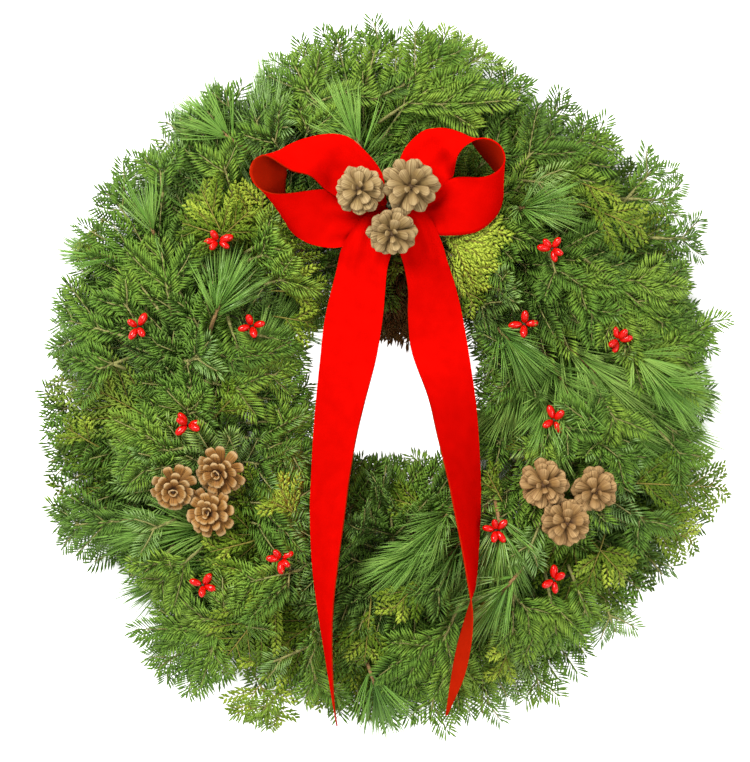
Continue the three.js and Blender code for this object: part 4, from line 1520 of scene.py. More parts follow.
CEDAR_SHOWN = (
    (223, 236, 195, 176, 0.55), (223, 236, 170, 219, 0.5), (223, 236, 260, 201, 0.5),
    (283, 291, 338, 293, 0.6), (285, 318, 326, 325, 0.55), (99, 227, 81, 268, 0.5),
    (447, 240, 518, 227, 1.0), (446, 236, 508, 248, 1.0), (447, 240, 495, 266, 0.95),
    (448, 252, 500, 287, 0.95), (449, 263, 483, 321, 0.9), (467, 133, 472, 112, 0.6),
    (591, 208, 656, 234, 0.5), (587, 185, 630, 201, 0.5), (394, 259, 401, 279, 0.6),
    (294, 513, 271, 472, 0.75), (294, 513, 250, 490, 0.7), (246, 543, 198, 555, 0.5),
    (271, 566, 198, 603, 0.5), (276, 594, 209, 679, 0.5), (260, 685, 230, 724, 0.55),
    (260, 685, 289, 734, 0.55), (90, 442, 55, 421, 0.5), (221, 410, 250, 380, 0.5),
    (370, 610, 363, 676, 0.55), (426, 509, 380, 495, 0.4), (499, 495, 481, 460, 0.3),
    (633, 483, 738, 488, 0.5), (644, 518, 708, 548, 0.5), (600, 550, 582, 598, 0.6),
    (600, 550, 633, 587, 0.6), (421, 580, 380, 623, 0.6), (509, 649, 493, 688, 0.6),
)
# Dark brown fir sunk deep in the hole behind the tails: partly dried needles, partly painted shade.
DRY_SHADED_SHOWN = (
    (395, 262, 395, 348, 42.0), (404, 250, 415, 340, 42.0), (384, 258, 384, 344, 50.0),
    (412, 262, 404, 345, 56.0), (390, 250, 399, 338, 62.0), (424, 270, 430, 342, 56.0),
    (399, 256, 391, 330, 66.0), (408, 258, 409, 332, 66.0), (380, 262, 377, 334, 62.0),
)


FIR_LEAF = WaxyLeaf("balsam fir needles, waxy", 0.42)
PINE_LEAF = WaxyLeaf(
    "white pine needles, waxy", 0.4, WAX_IOR, "#376312", "#62922a", "#98b954", "#8db04c", "#a2bd80"
)
CEDAR_LEAF = WaxyLeaf(
    "white cedar scale leaves, waxy", 0.5, WAX_IOR, "#284406", "#4c6b0b", "#bccf46", "#86a026", "#78893c"
)
# Brown of dried needles, made darker as painted shade.
DRY_SHADED_LEAF = WaxyLeaf(
    "fir needles, dried brown, darkened as painted shade", 0.7, WAX_IOR, "#3a2410", "#5c3d1c", "#84602f", "#6d4c26", "#7c6138"
)
SPARSE_NEEDLE = NeedleForm(2.2, 0.8, ((0.66, 1.0),))
LOW_NEEDLE = NeedleForm(2.4, 0.8, ((0.66, 1.0),))


@dataclass
class Foliage:
    """All the greenery: each packed branch replaced by a full one, fir between, and sprays on top."""

    plan: BranchPlan
    view: PhotoView
    place: Place
    covers: Covers
    dome: Dome = field(default_factory=Dome)
    seed: int = 7
    low_seed: int = 900
    bare: dict = field(default_factory=lambda: {Tier.OUTER: 0.36, Tier.FACE: 0.22, Tier.INNER: 0.2})
    slopes: dict = field(default_factory=lambda: {Tier.OUTER: 0.22, Tier.FACE: 0.08, Tier.INNER: -0.2})
    sway: float = 0.1
    turned_over: float = 0.1
    tone: Pair = (0.48, 0.18)
    tone_limits: Pair = (0.08, 0.92)
    bundle_radius: float = 2.3
    stem_share: Row = (0.96, 0.93, 0.91, 0.9, 0.92, 0.97, 0.86, 0.95, 1.05, 0.97, 0.93)
    plump: FirHabit = field(
        default_factory=lambda: FirHabit(spacing=2.4, crown_gap=3.6, crown_share=0.58)
    )
    filler: FirHabit = field(
        default_factory=lambda: FirHabit(spacing=3.1, crown_gap=8.0, needle=SPARSE_NEEDLE)
    )
    lowest: FirHabit = field(
        default_factory=lambda: FirHabit(spacing=3.4, crown_gap=30.0, needle=LOW_NEEDLE)
    )
    filler_ahead: float = 5.0
    filler_below: float = 9.0
    filler_bare: float = 0.36
    filler_tones: Pair = (0.2, 0.5)
    first_tip: float = 90.0
    low_bare: float = 0.2
    low_shade_tones: Pair = (0.0, 0.2)
    sparse: float = 0.9
    low_uneven: float = 0.2
    low_rows: tuple[tuple[int, Tier, float, float, float, float], ...] = (
        (22, Tier.OUTER, 144.5, 280.0, 24.0, 19.0), (15, Tier.FACE, 133.0, 214.0, 26.0, 34.0),
        (11, Tier.INNER, 121.5, 100.0, 22.0, 19.0),
    )

    def __post_init__(self) -> None:
        """Makes the leaf and bark of each kind, and says how each grows."""
        fir_bark = TwigBark("fir twig, thin bark").material()
        pine_bark = TwigBark("pine twig, bark", dark="#6b4a2a", light="#a3824f")
        cedar_bark = TwigBark("cedar twig, bark", dark="#6a5f22", light="#8f8634")
        self.materials = {
            Kind.FIR: [FIR_LEAF.material(), fir_bark],
            Kind.PINE: [PINE_LEAF.material(), pine_bark.material()],
            Kind.CEDAR: [CEDAR_LEAF.material(), cedar_bark.material()],
            Kind.DRY: [DRY_SHADED_LEAF.material(), fir_bark],
        }
        fir_habit = FirHabit()
        self.habits = {
            Kind.FIR: fir_habit,
            Kind.PINE: PineHabit(),
            Kind.CEDAR: CedarHabit(),
            Kind.DRY: fir_habit,
        }

    def upward(self, sprig: Sprig, rng: Random) -> Array:
        """Tips the upper side of a sprig with the dome, and a little at random.

        Args:
            sprig: the stem.
            rng: seeded numbers.

        Returns:
            Which way its upper side faces. A few are turned over.
        """
        outward = polar(sprig.start - sprig.sweep, self.slopes[sprig.tier], 0.0)
        upward = unit(UP + outward + np.append(rng.normal(0, self.sway, 2), 0.0))
        return -upward if rng.random() < self.turned_over else upward

    def share_shown(self, tier: Tier, station: int) -> float:
        """Gives how much of its packed length a stem has, so that the rim is as the photograph's."""
        return self.stem_share[station] if tier is Tier.OUTER else 1.0

    def finish(self, mesh: PieceMesh, name: str, kind: Kind) -> Object:
        """Presses a piece under what lies on it and makes it.

        Args:
            mesh: the piece.
            name: its name.
            kind: what it is made of.

        Returns:
            The new object.
        """
        mesh.above_floor()
        self.covers.press(mesh)
        piece = mesh.build(name, self.materials[kind], self.place)
        return piece

    def grow(self) -> None:
        """Grows every branch, the fir between the others and the sprays on top."""
        self.covers.soften()
        branches: dict[str, list[Sprig]] = {}
        for sprig in self.plan.sprigs():
            branches.setdefault(sprig.node, []).append(sprig)
        between = {tier: PieceMesh() for tier in Tier}
        for number, (node, sprigs) in enumerate(branches.items()):
            rng = np.random.default_rng(self.seed + number)
            kind = sprigs[0].kind
            tier = sprigs[0].tier
            station = number % self.plan.stations
            past = self.share_shown(tier, station)
            mesh = PieceMesh()
            lane = self.plan.lane_line(tier, station)
            mesh.add_rod(lane, np.full(len(lane), self.bundle_radius), sides=7)
            for index, sprig in enumerate(sprigs):
                strand = sprig.strand(self.upward(sprig, rng), past)
                tone = float(np.clip(rng.normal(*self.tone), *self.tone_limits))
                self.habits[kind].spray(mesh, Shoot(strand, self.bare[tier], tone), rng)
                if kind is not Kind.FIR and (tier is Tier.OUTER or index == 1):
                    self.fill(between[tier], sprig, past, rng)
            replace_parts(self.finish(mesh, f"{node}_full", kind), node)
        for tier, mesh in between.items():
            self.finish(mesh, f"fir_between_{tier.value}", Kind.FIR)
        self.lay_below()
        self.lay_on_top()

    def lay_below(self) -> None:
        """Ties fir low on the ring, so that nothing below shows between the branches. It takes only the
        darkest tones, as painted shade deep in the wreath.
        """
        rng = np.random.default_rng(self.seed + self.low_seed)
        mesh = PieceMesh()
        stations = self.plan.stations
        for count, tier, lane, reach, sweep, height in self.low_rows:
            for number in range(count):
                turn = (number + rng.uniform(-self.low_uneven, self.low_uneven)) * 360 / count
                places = (turn, sweep, lane, reach, height, height, self.plan.lane_height)
                sprig = Sprig("", Kind.FIR, tier, *places)
                nearest = round((self.first_tip + sweep - turn) * stations / 360) % stations
                strand = sprig.strand(self.upward(sprig, rng), self.share_shown(tier, nearest))
                # Painted shade: the low fir is given only the darkest tones.
                tone = float(rng.uniform(*self.low_shade_tones))
                self.lowest.spray(mesh, Shoot(strand, self.low_bare, tone, self.sparse), rng)
        self.finish(mesh, "fir_tied_below", Kind.FIR)

    def fill(self, mesh: PieceMesh, sprig: Sprig, past: float, rng: Random) -> None:
        """Grows fir below a sprig of another kind, as the wreath is mostly fir.

        Args:
            mesh: the piece to add to.
            sprig: the stem of the other kind.
            past: where the stem ends, as a share of its packed length.
            rng: seeded numbers.
        """
        shorter = self.plan.past_packed(sprig.kind, sprig.tier) - self.plan.past[Kind.FIR]
        outward = 1 if sprig.reach > sprig.lane else -1
        lower = replace(
            sprig,
            kind=Kind.FIR,
            start=sprig.start + self.filler_ahead,
            reach=sprig.reach + outward * shorter,
            middle=sprig.middle - self.filler_below,
            tip=sprig.tip - self.filler_below,
        )
        strand = lower.strand(self.upward(lower, rng), past)
        tone = float(rng.uniform(*self.filler_tones))
        self.filler.spray(mesh, Shoot(strand, self.filler_bare, tone, self.sparse), rng)

    def shown(self, rng: Random) -> list[ShownSpray]:
        """Lists the sprays that the photograph shows on top.

        Args:
            rng: seeded numbers.

        Returns:
            The sprays, in the order that they are grown.
        """
        sprays = []
        for x, y, *tip in FIR_SHOWN:
            sprays.append(ShownSpray(Kind.FIR, (x, y), tip, tone=rng.uniform(0.25, 0.85), full=1.1))
        for x, y, *tip in FIR_TURNED_OVER:
            sprays.append(ShownSpray(Kind.FIR, (x, y), tip, tone=0.6, turned_over=True))
        for x, y, *tip in FIR_AT_HOLE:
            sprays.append(ShownSpray(Kind.FIR, (x, y), tip, tone=0.45, sunk=17.0, bare=5.0))
        for x, y, *tip, full in PINE_SHOWN:
            sprays.append(ShownSpray(Kind.PINE, (x, y), tip, tone=rng.uniform(0.3, 0.6), full=full))
        for x, y, *tip, tone in CEDAR_SHOWN:
            sprays.append(ShownSpray(Kind.CEDAR, (x, y), tip, tone, full=0.85))
        for x, y, *tip, sunk in DRY_SHADED_SHOWN:
            sprays.append(ShownSpray(Kind.DRY, (x, y), tip, sunk=sunk))
        return sprays

    def lay_on_top(self) -> None:
        """Lays the sprays that the photograph shows on top, each kind as one piece."""
        rng = np.random.default_rng(self.seed)
        meshes = {kind: PieceMesh() for kind in Kind}
        for spray in self.shown(rng):
            strand = spray.strand(self.view, self.dome)
            habit = self.plump if spray.kind is Kind.FIR else self.habits[spray.kind]
            shoot = Shoot(strand, spray.bare / strand.length, spray.tone, spray.full)
            habit.spray(meshes[spray.kind], shoot, rng)
        for kind, mesh in meshes.items():
            self.finish(mesh, f"{kind.value}_on_top", kind)


@dataclass
class ClampRing:
    """The 12 inch ring: two rails, cross bars and a wire clamp over each bundle of stems."""

    plan: BranchPlan
    place: Place
    outer: float = 152.0
    inner: float = 114.0
    wire: float = 1.8
    rail_points: int = 120
    clamp_wire: float = 1.1
    clamp_height: float = 13.8
    clamp_ahead: float = 3.5
    squareness: float = 0.45

    def build(self) -> None:
        """Makes the ring from round wire."""
        mesh = PieceMesh()
        for radius in (self.outer, self.inner):
            line = polar(np.arange(self.rail_points) * (360 / self.rail_points), radius, self.wire)
            self.add_wire(mesh, line, self.wire, closed=True)
        for station in range(self.plan.stations):
            degrees = self.plan.station_angle(station) - self.clamp_ahead
            radii = np.linspace(self.inner, self.outer, 4)
            self.add_wire(mesh, polar(degrees, radii, self.wire), self.clamp_wire)
            self.add_wire(mesh, self.clamp_line(degrees), self.clamp_wire)
        finish = DrawnWire("steel wire under dark green lacquer", 0.4, LACQUER_IOR, 0.0, "#2c3a28", "#1c281b")
        piece = mesh.build("ring_of_round_wire", [finish.material()], self.place)
        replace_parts(piece, "clamp_ring")

    def add_wire(self, mesh: PieceMesh, line: Array, radius: float, closed: bool = False) -> None:
        """Adds one round wire."""
        mesh.add_tube(line, np.full(len(line), radius), 10, closed=closed)

    def clamp_line(self, degrees: float) -> Array:
        """Gives the arch of one clamp, from the outer rail over the stems to the inner one.

        Args:
            degrees: the clamp's angle round the ring.

        Returns:
            The line's points.
        """
        turn = np.linspace(0, math.pi, 15)
        across = np.sign(np.cos(turn)) * np.abs(np.cos(turn)) ** self.squareness
        radii = (self.outer + self.inner) / 2 + across * (self.outer - self.inner) / 2
        heights = self.wire + (self.clamp_height - self.wire) * np.sin(turn) ** self.squareness
        return polar(degrees, radii, heights)


@dataclass(frozen=True)
class Rung:
    """One line across the ribbon: its edges in the photograph, its height and its share of width."""

    first: Pair
    second: Pair
    height: float
    share: float


class RibbonPart(Enum):
    """The four cut lengths of ribbon."""

    LEFT_LOOP = "left_loop"
    RIGHT_LOOP = "right_loop"
    LEFT_TAIL = "left_tail"
    RIGHT_TAIL = "right_tail"


# Each row is a line across the ribbon: both edges in pixels, its height and its share of width.
PINCH = 0.14
RUNGS = {
    RibbonPart.LEFT_LOOP: [
        (386.1, 207, 386.1, 207, 96, PINCH), (373, 205, 373, 222, 97, 0.29),
        (358, 202, 359, 238, 98, 0.6), (342, 196, 345, 246, 99, 0.85), (325, 190, 327, 247.5, 100, 1),
        (286, 195.5, 304, 241, 100, 1), (268, 194.5, 288, 226, 100, 1), (257, 187, 286, 205, 100, 1),
        (252, 176, 285, 184, 101, 1), (254, 166.5, 286, 170, 101, 1), (260, 161, 280, 156, 101, 1),
        (270, 160, 283, 148.5, 101, 1), (292, 173, 304, 139, 101, 1), (311, 178, 331, 134, 102, 1),
        (325, 190, 350, 138, 102, 1), (340, 199, 366, 152, 102, 0.92), (355, 204, 377, 165, 102, 0.77),
        (370, 206, 384, 180, 103, 0.5), (386.1, 205, 386.1, 205, 105, PINCH),
    ],
    RibbonPart.RIGHT_LOOP: [
        (393.9, 207, 393.9, 207, 96, PINCH), (412, 201, 410, 222, 97, 0.36),
        (430, 193, 427, 232, 98, 0.66), (453, 179, 444, 235.5, 99, 1), (480, 179, 476, 232, 99, 1),
        (493, 176, 496, 216, 100, 1), (501, 169, 503, 196, 100, 1), (502.5, 160, 500, 180, 100, 1),
        (498, 150, 490, 165, 100, 1), (488, 143.5, 479, 152, 100, 1), (476, 143, 468, 137, 100, 1),
        (464, 149, 456, 131, 100.5, 1), (457, 157, 449, 129, 101, 1), (454, 166, 438, 128, 101, 1),
        (452, 178, 425, 130, 101, 0.95), (445, 187, 413, 139, 101, 0.98),
        (430, 197, 403, 152, 101, 0.9), (412, 203, 396, 175, 102, 0.55),
        (393.9, 205, 393.9, 205, 105, PINCH),
    ],
    RibbonPart.LEFT_TAIL: [
        (388.6, 209.7, 388.6, 209.7, 107, PINCH), (362, 218, 389, 226, 108, 0.48),
        (343, 245, 392, 249, 104, 0.84), (336, 272, 387, 271, 95, 0.88), (325, 318, 383, 316, 88, 1),
        (320, 360, 376, 359, 84, 1), (316, 401, 365, 401, 82, 1), (313, 440, 356, 439, 84, 1),
        (311, 480, 349, 480, 92, 1), (310, 512, 345, 512, 100, 0.945), (312, 563, 338, 563, 105, 0.75),
        (318, 612, 333, 609, 101, 0.55), (325, 655, 332, 653, 89, 0.33), (333, 703, 334, 703, 68, 0.14),
        (337, 726, 337, 726, 55, 0.05),
    ],
    RibbonPart.RIGHT_TAIL: [
        (391.4, 209.7, 391.4, 209.7, 106, PINCH), (394, 228, 424, 212, 107, 0.55),
        (399, 250, 440, 238, 103, 0.73), (404, 267, 448, 263, 95, 0.76), (408, 291, 456, 288, 91, 0.92),
        (408, 319, 463, 319, 88, 0.98), (412, 353, 470, 360, 85, 1), (428, 397, 476, 403, 84, 1),
        (437, 435, 479, 439, 87, 1), (448, 480, 481, 480, 95, 1), (453, 505, 481, 505, 101, 0.96),
        (462, 550, 479, 550, 106, 0.82), (468, 585, 476, 585, 107, 0.7),
        (471, 603, 471, 603, 106, 0.62), (472, 621, 465, 622, 103, 0.55),
        (470, 646, 457, 650, 96, 0.46), (463, 678, 451, 682, 85, 0.33), (447, 715, 446, 716, 66, 0.05),
    ],
}


@dataclass
class Bow:
    """The bow: two loops and two long tails of 2 inch velvet ribbon, and the wire that ties it."""

    view: PhotoView
    place: Place
    covers: Covers
    width: float = 50.8
    thickness: float = 0.9
    edge_bead: float = 1.5
    narrowest: float = 0.5
    clearance: float = 1.5
    between: int = 6
    across: int = 14
    pleats: float = 2.5
    pleat_depth: float = 1.8
    tightest: float = 0.2
    gathered_rungs: int = 3
    tie_middle: Pair = (390.0, 206.0)
    tie_bottom: float = 92.0
    tie_top: float = 121.0
    coil_turns: int = 7
    coil_points: int = 120
    coil_radius: float = 2.4
    coil_wire: float = 0.75
    leg_radii: Row = (1.0, 1.0, 1.0, 1.9, 1.9)
    leg_upright: float = 6.0
    leg_neck: float = 3.0

    def edges(self, part: RibbonPart, rung: Rung) -> Array:
        """Finds the two edges of the ribbon. What the photograph doesn't show of it is height.

        Args:
            part: which of the four lengths.
            rung: the line across it.

        Returns:
            The two points, in millimetres.
        """
        ends = np.array([self.view.at(*rung.first, rung.height), self.view.at(*rung.second, rung.height)])
        width = self.width * rung.share
        seen = min(width, float(np.linalg.norm(ends[1] - ends[0])))
        hidden = math.sqrt(width * width - seen * seen)
        if part in (RibbonPart.LEFT_LOOP, RibbonPart.RIGHT_LOOP):
            ends[0, 2] += hidden
        else:
            rise = 1 if part is RibbonPart.LEFT_TAIL else -1
            ends[0, 2] -= hidden / 2 * rise
            ends[1, 2] += hidden / 2 * rise
        return ends

    def smooth(self, values: Array) -> Array:
        """Draws a smooth line through values at the rungs.

        Args:
            values: a row of values for each rung.

        Returns:
            The rows, with others added between them.
        """
        padded = np.concatenate([2 * values[:1] - values[1:2], values, 2 * values[-1:] - values[-2:-1]])
        rows = []
        for i in range(1, len(padded) - 2):
            a, b, c, d = padded[i - 1 : i + 3]
            for t in np.arange(self.between) / self.between:
                square = (2 * a - 5 * b + 4 * c - d) * t**2
                cube = (3 * b - a - 3 * c + d) * t**3
                rows.append(0.5 * (2 * b + (c - a) * t + square + cube))
        rows.append(values[-1])
        return np.array(rows)

    def ribbon(self, part: RibbonPart, materials: list[Material]) -> None:
        """Makes one length of ribbon, with its pleats where it is gathered, as a sheet of its cut size.

        Args:
            part: which of the four lengths.
            materials: the pile and the back.
        """
        rungs = [Rung((a, b), (c, d), height, share) for a, b, c, d, height, share in RUNGS[part]]
        lines = self.smooth(np.array([self.edges(part, rung) for rung in rungs]).reshape(len(rungs), 6))
        first, second = lines[:, :3], lines[:, 3:]
        shares = self.smooth(np.array([[rung.share] for rung in rungs]))[:, 0]
        gathered = shares.copy()
        if part in (RibbonPart.LEFT_TAIL, RibbonPart.RIGHT_TAIL):
            gathered[self.gathered_rungs * self.between :] = 1.0
        middle = (first + second) / 2
        forward = unit(np.gradient(middle, axis=0))
        side = second - first
        wide = np.maximum(np.linalg.norm(side, axis=1), self.narrowest)
        normal = unit(np.cross(side, forward))
        v = np.linspace(0, 1, self.across + 1)
        fullness = np.sqrt(np.maximum(1 / np.maximum(gathered, self.tightest) - 1, 0))
        depth = np.minimum(fullness * wide / (math.pi * self.pleats), self.pleat_depth)
        wave = np.sin(v * 2 * math.pi * self.pleats)[None] * depth[:, None]
        grid = first[:, None] + side[:, None] * v[None, :, None] + normal[:, None] * wave[:, :, None]
        edge = np.clip(np.minimum(v, 1 - v) * self.across, 0, 1)
        thick = self.thickness / 2 * mix(self.edge_bead, 1.0, edge)[None, :, None]
        upper = grid + normal[:, None] * thick
        lower = grid - normal[:, None] * thick
        self.covers.lay_grid(np.minimum(upper, lower), self.clearance)
        points, top, under = shell(upper, lower)
        marks = np.tile(np.array(EVEN_MARK), (len(points), 1))
        mesh = PieceMesh()
        # The right loop's rungs run the other way round it, so its upper face is the outer one.
        pile_slot = 0 if part is RibbonPart.RIGHT_LOOP else 1
        mesh.add(points, top, marks, slot=pile_slot)
        mesh.add(points, under, marks, slot=1 - pile_slot)
        piece = mesh.build(f"{part.value}_of_velvet", materials, self.place)
        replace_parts(piece, part.value)

    def tie(self) -> None:
        """Makes the wire wound round the gathered middle, with its tail down to the ring."""
        top = self.view.at(*self.tie_middle, self.tie_top)
        bottom = self.view.at(*self.tie_middle, self.tie_bottom)
        mesh = PieceMesh()
        turns = np.linspace(0, self.coil_turns * 2 * math.pi, self.coil_points)
        heights = np.linspace(bottom[2], top[2] - 1, self.coil_points)
        across = bottom[0] + self.coil_radius * np.cos(turns)
        along = bottom[1] + self.coil_radius * np.sin(turns)
        coil = np.stack([across, along, heights], axis=-1)
        mesh.add_tube(coil, np.full(self.coil_points, self.coil_wire), sides=6)
        foot = self.place.foot_of("bow_tie")
        leg = np.array([foot, foot + UP * self.leg_upright, bottom - UP * self.leg_neck, bottom, top])
        mesh.add_tube(leg, np.array(self.leg_radii), sides=8)
        # Dark green enamel, kept dark as painted shade between the bow's cones.
        shade_dark_enamel = DrawnWire("florist wire, dark green enamel, darkened as painted shade", 0.5, LACQUER_IOR, 0.0, "#2a3a18", "#1c280f")
        piece = mesh.build("tie_of_wound_wire", [shade_dark_enamel.material()], self.place)
        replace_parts(piece, "bow_tie")

    def build(self) -> None:
        """Makes the four lengths and the tie."""
        pile = Velvet("red velvet, cut pile")
        # The back is darker than the pile: partly the duller woven back, partly painted shade for the insides
        # of the loops.
        back = Velvet(
            "woven back of velvet ribbon", roughness=0.75, shade="#9c1804", pile="#b01f06", sheen=0.02
        )
        materials = [pile.material(), back.material()]
        for part in RibbonPart:
            self.ribbon(part, materials)
        self.tie()


@dataclass(frozen=True)
class ConeSpot:
    """Where one pine cone is, and which way its axis tips."""

    name: str
    x: float
    y: float
    radius: float
    base: float
    tilt: float
    toward: float


@dataclass(frozen=True)
class ScaleTurn:
    """One turn of a cone's scales: how many, how steeply they rise, and how big they are.

    The length is a share of the cone's radius. The half width and the height of the roots on the
    axis are in millimetres.
    """

    count: int
    rise: float
    length: float
    half: float
    root: float


@dataclass(frozen=True)
class ScaleForm:
    """How a cone's scales are shaped, by turns from the lowest.

    Cupped is how far a scale's sides turn up, or down below 0. Setback is how far the corners of
    its end stand back. The rest are its ridge, the droop of its end, its thickness and how much it
    rolls. Lengths are millimetres, the setback is a share of the length, and the roll is degrees.
    """

    turns: tuple[ScaleTurn, ...]
    cupped: float
    setback: float
    ridge: float
    droop: float
    thickness: float
    roll: float
    rim_at_end: bool


CONE_SPOTS = [
    ConeSpot("cone_bow_left", 359.5, 190, 21.4, 118, 10, 140),
    ConeSpot("cone_bow_right", 410.5, 186, 24.6, 118, 9, 305),
    ConeSpot("cone_bow_lower", 392, 232, 21.2, 118, 16, 265),
    ConeSpot("cone_left_upper", 220, 471, 22.4, 90, 26, 225),
    ConeSpot("cone_left_outer", 174, 488, 20.8, 86, 24, 265),
    ConeSpot("cone_left_lower", 211, 512, 21.6, 88, 20, 185),
    ConeSpot("cone_right_inner", 544, 484, 21.4, 90, 10, 232),
    ConeSpot("cone_right_outer", 595, 490, 20.2, 87, 15, 282),
    ConeSpot("cone_right_lower", 566, 522, 21.4, 88, 9, 303),
]
OPEN_CONE = (
    ScaleTurn(10, 0, 1.02, 6.0, 6),
    ScaleTurn(9, 11, 0.95, 5.5, 9),
    ScaleTurn(5, 25, 0.74, 4.6, 12),
    ScaleTurn(3, 44, 0.4, 2.6, 15),
)
SCOOPED_CONE = (
    ScaleTurn(10, 6, 1.02, 4.6, 5),
    ScaleTurn(9, 22, 0.88, 4.3, 9),
    ScaleTurn(8, 40, 0.66, 3.7, 11),
    ScaleTurn(5, 62, 0.38, 2.4, 12),
)
ARCHED = ScaleForm(OPEN_CONE, -0.7, 0.07, 0.5, 0.7, 0.6, 11, rim_at_end=False)
SCOOPED = ScaleForm(SCOOPED_CONE, 0.7, 0.0, 0.0, 1.4, 0.95, 5, rim_at_end=True)


@dataclass
class PineCones:
    """Nine open cones on wire legs, in three groups of three."""

    view: PhotoView
    place: Place
    covers: Covers
    pivot: float = 8.0
    seed: int = 51
    across: int = 7
    stations: Row = (0.0, 0.3, 0.55, 0.74, 0.86, 0.94, 0.985, 1.0)
    root_share: float = 0.3
    root_thickness: float = 0.3
    widest_at: float = 0.74
    rounded_from: float = 0.68
    rounded_over: float = 0.33
    bluntness: float = 7.0
    narrowest: float = 0.3
    ridge_half: float = 0.3
    swelling: float = 0.7
    end_from: float = 0.86
    end_length: float = 0.14
    side_fall: float = 1.1
    side_curve: int = 6
    side_least: float = 0.1
    lightest: float = 0.95
    usual_half: float = 4.9
    core_places: Row = (0.0, 5.0, 10.0, 15.0, 18.0)
    core_radii: Row = (3.0, 5.0, 3.6, 2.2, 0.8)
    turn_spread: float = 5.0
    rise_spread: float = 3.0
    length_range: Pair = (0.93, 1.05)
    curl_spread: float = 0.8
    mark_spread: float = 0.08
    streak_range: float = 90.0
    leg_above: float = 4.0
    bowl_slope: float = 0.15

    def scale_shape(self, form: ScaleForm) -> tuple[Array, Array, Array]:
        """Shapes one woody scale with a blunt, thick, rounded end.

        Args:
            form: hollow like a spoon, or arched.

        Returns:
            Points as shares of its length and half width with height in millimetres, triangles, and
            marks.
        """
        share = np.array(self.stations)
        u = share[:, None]
        v = np.linspace(-1, 1, self.across)[None]
        widening = mix(self.root_share, 1.0, np.clip(share / self.widest_at, 0, 1))
        near_end = np.clip(share - self.rounded_from, 0, 1) / self.rounded_over
        rounding = np.clip(1 - near_end**self.bluntness, self.narrowest, 1) ** 0.5
        wide = (widening * rounding)[:, None] * v
        reach = u - form.setback * u**3 * v**2
        ridge = form.ridge * np.exp(-((v / self.ridge_half) ** 2)) * u
        end = np.clip((u - self.end_from) / self.end_length, 0, 1)
        height = form.cupped * v**2 * u + ridge + self.swelling * u**2 - form.droop * end**2
        sides = np.sqrt(np.clip(self.side_fall - v**self.side_curve, self.side_least, 1))
        thick = mix(self.root_thickness, form.thickness, u**2) * sides
        upper = np.stack([reach, wide, height + thick], axis=-1)
        lower = np.stack([reach, wide, height - thick], axis=-1)
        points, top, under = shell(upper, lower)
        edge = np.broadcast_to(end if form.rim_at_end else np.abs(v) ** 3, wide.shape)
        # Lightness along each scale: dark at the root, partly as the wood's colour and partly as painted
        # shade, and light at the worn tip.
        lightness = np.repeat(share, self.across) * self.lightest
        beside = np.tile(v[0] / 2, len(share))
        marks = np.stack([np.tile(part, 2) for part in (edge.ravel(), lightness, beside)], axis=-1)
        return points, np.concatenate([top, under]), marks

    def cone(self, spot: ConeSpot, form: ScaleForm, materials: list[Material], number: int) -> None:
        """Builds one cone: a core, its scales turn by turn, and its wire leg.

        Args:
            spot: where the cone is.
            form: how its scales are shaped.
            materials: the wood and the wire.
            number: which cone it is, for its own random numbers.
        """
        rng = np.random.default_rng(self.seed + number)
        tilt = math.radians(spot.tilt)
        axis = polar(spot.toward, math.sin(tilt), math.cos(tilt))
        base = self.view.at(spot.x, spot.y, spot.base + self.pivot) - axis * self.pivot
        right = unit(np.cross(axis, np.array([0.0, 1.0, 0.0])))
        lift = np.cross(axis, right)
        mesh = PieceMesh()
        core = base + axis * np.array(self.core_places)[:, None]
        points, faces = tube(core, np.array(self.core_radii), 10)
        mesh.add(points, faces, np.zeros_like(points))
        shape, triangles, marks = self.scale_shape(form)
        for turn in form.turns:
            start = rng.uniform(0, 360)
            for k in range(turn.count):
                around = math.radians(start + k * 360 / turn.count + rng.normal(0, self.turn_spread))
                rise = math.radians(turn.rise + rng.normal(0, self.rise_spread))
                long = spot.radius * turn.length * rng.uniform(*self.length_range)
                outward = right * math.cos(around) + lift * math.sin(around)
                tangent = np.cross(axis, outward)
                forward = outward * math.cos(rise) + axis * math.sin(rise)
                normal = axis * math.cos(rise) - outward * math.sin(rise)
                roll = math.radians(rng.normal(0, form.roll))
                level = tangent * math.cos(roll) + normal * math.sin(roll)
                normal = normal * math.cos(roll) - tangent * math.sin(roll)
                root = base + axis * (turn.root + rng.uniform(-1, 1))
                curl = shape[:, :1] ** 2 * rng.normal(0, self.curl_spread)
                placed = root + forward * (shape[:, :1] * long) + level * (shape[:, 1:2] * turn.half)
                placed = placed + normal * (shape[:, 2:] * turn.half / self.usual_half + curl)
                own = np.clip(marks[:, :2] + rng.normal(0, self.mark_spread, 2), 0, 1)
                streak = marks[:, 2:] + rng.uniform(0, self.streak_range)
                mesh.add(placed, triangles, np.concatenate([own, streak], axis=1))
        leg = np.array([self.place.foot_of(spot.name), base, base + axis * self.leg_above])
        mesh.add_rod(leg, np.full(3, 1.0), sides=6)
        self.covers.lay_bowl(base + [0, 0, self.leg_above], spot.radius, self.bowl_slope)
        piece = mesh.build(f"{spot.name}_of_scales", materials, self.place)
        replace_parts(piece, spot.name)

    def build(self) -> None:
        """Builds every cone, each group in its own shade of dry wood."""
        wire = DrawnWire("florist wire legs").material()
        grey = ConeWood("dry cone scales, pale tan")
        orange = replace(
            grey, title="dry cone scales, orange brown", hollow_and_shade="#2e1806", face="#8a581a",
            worn="#a2722e", streak="#593610", rim="#b89e72",
        )
        light = replace(
            grey, title="dry cone scales, light tan", hollow_and_shade="#38200b", face="#916c36",
            worn="#b59260", streak="#67461c", rim="#7a572a",
        )
        finishes = {"bow": grey.material(), "left": orange.material(), "right": light.material()}
        for number, spot in enumerate(CONE_SPOTS):
            group = spot.name.split("_")[1]
            form = SCOOPED if group == "left" else ARCHED
            self.cone(spot, form, [finishes[group], wire], number)


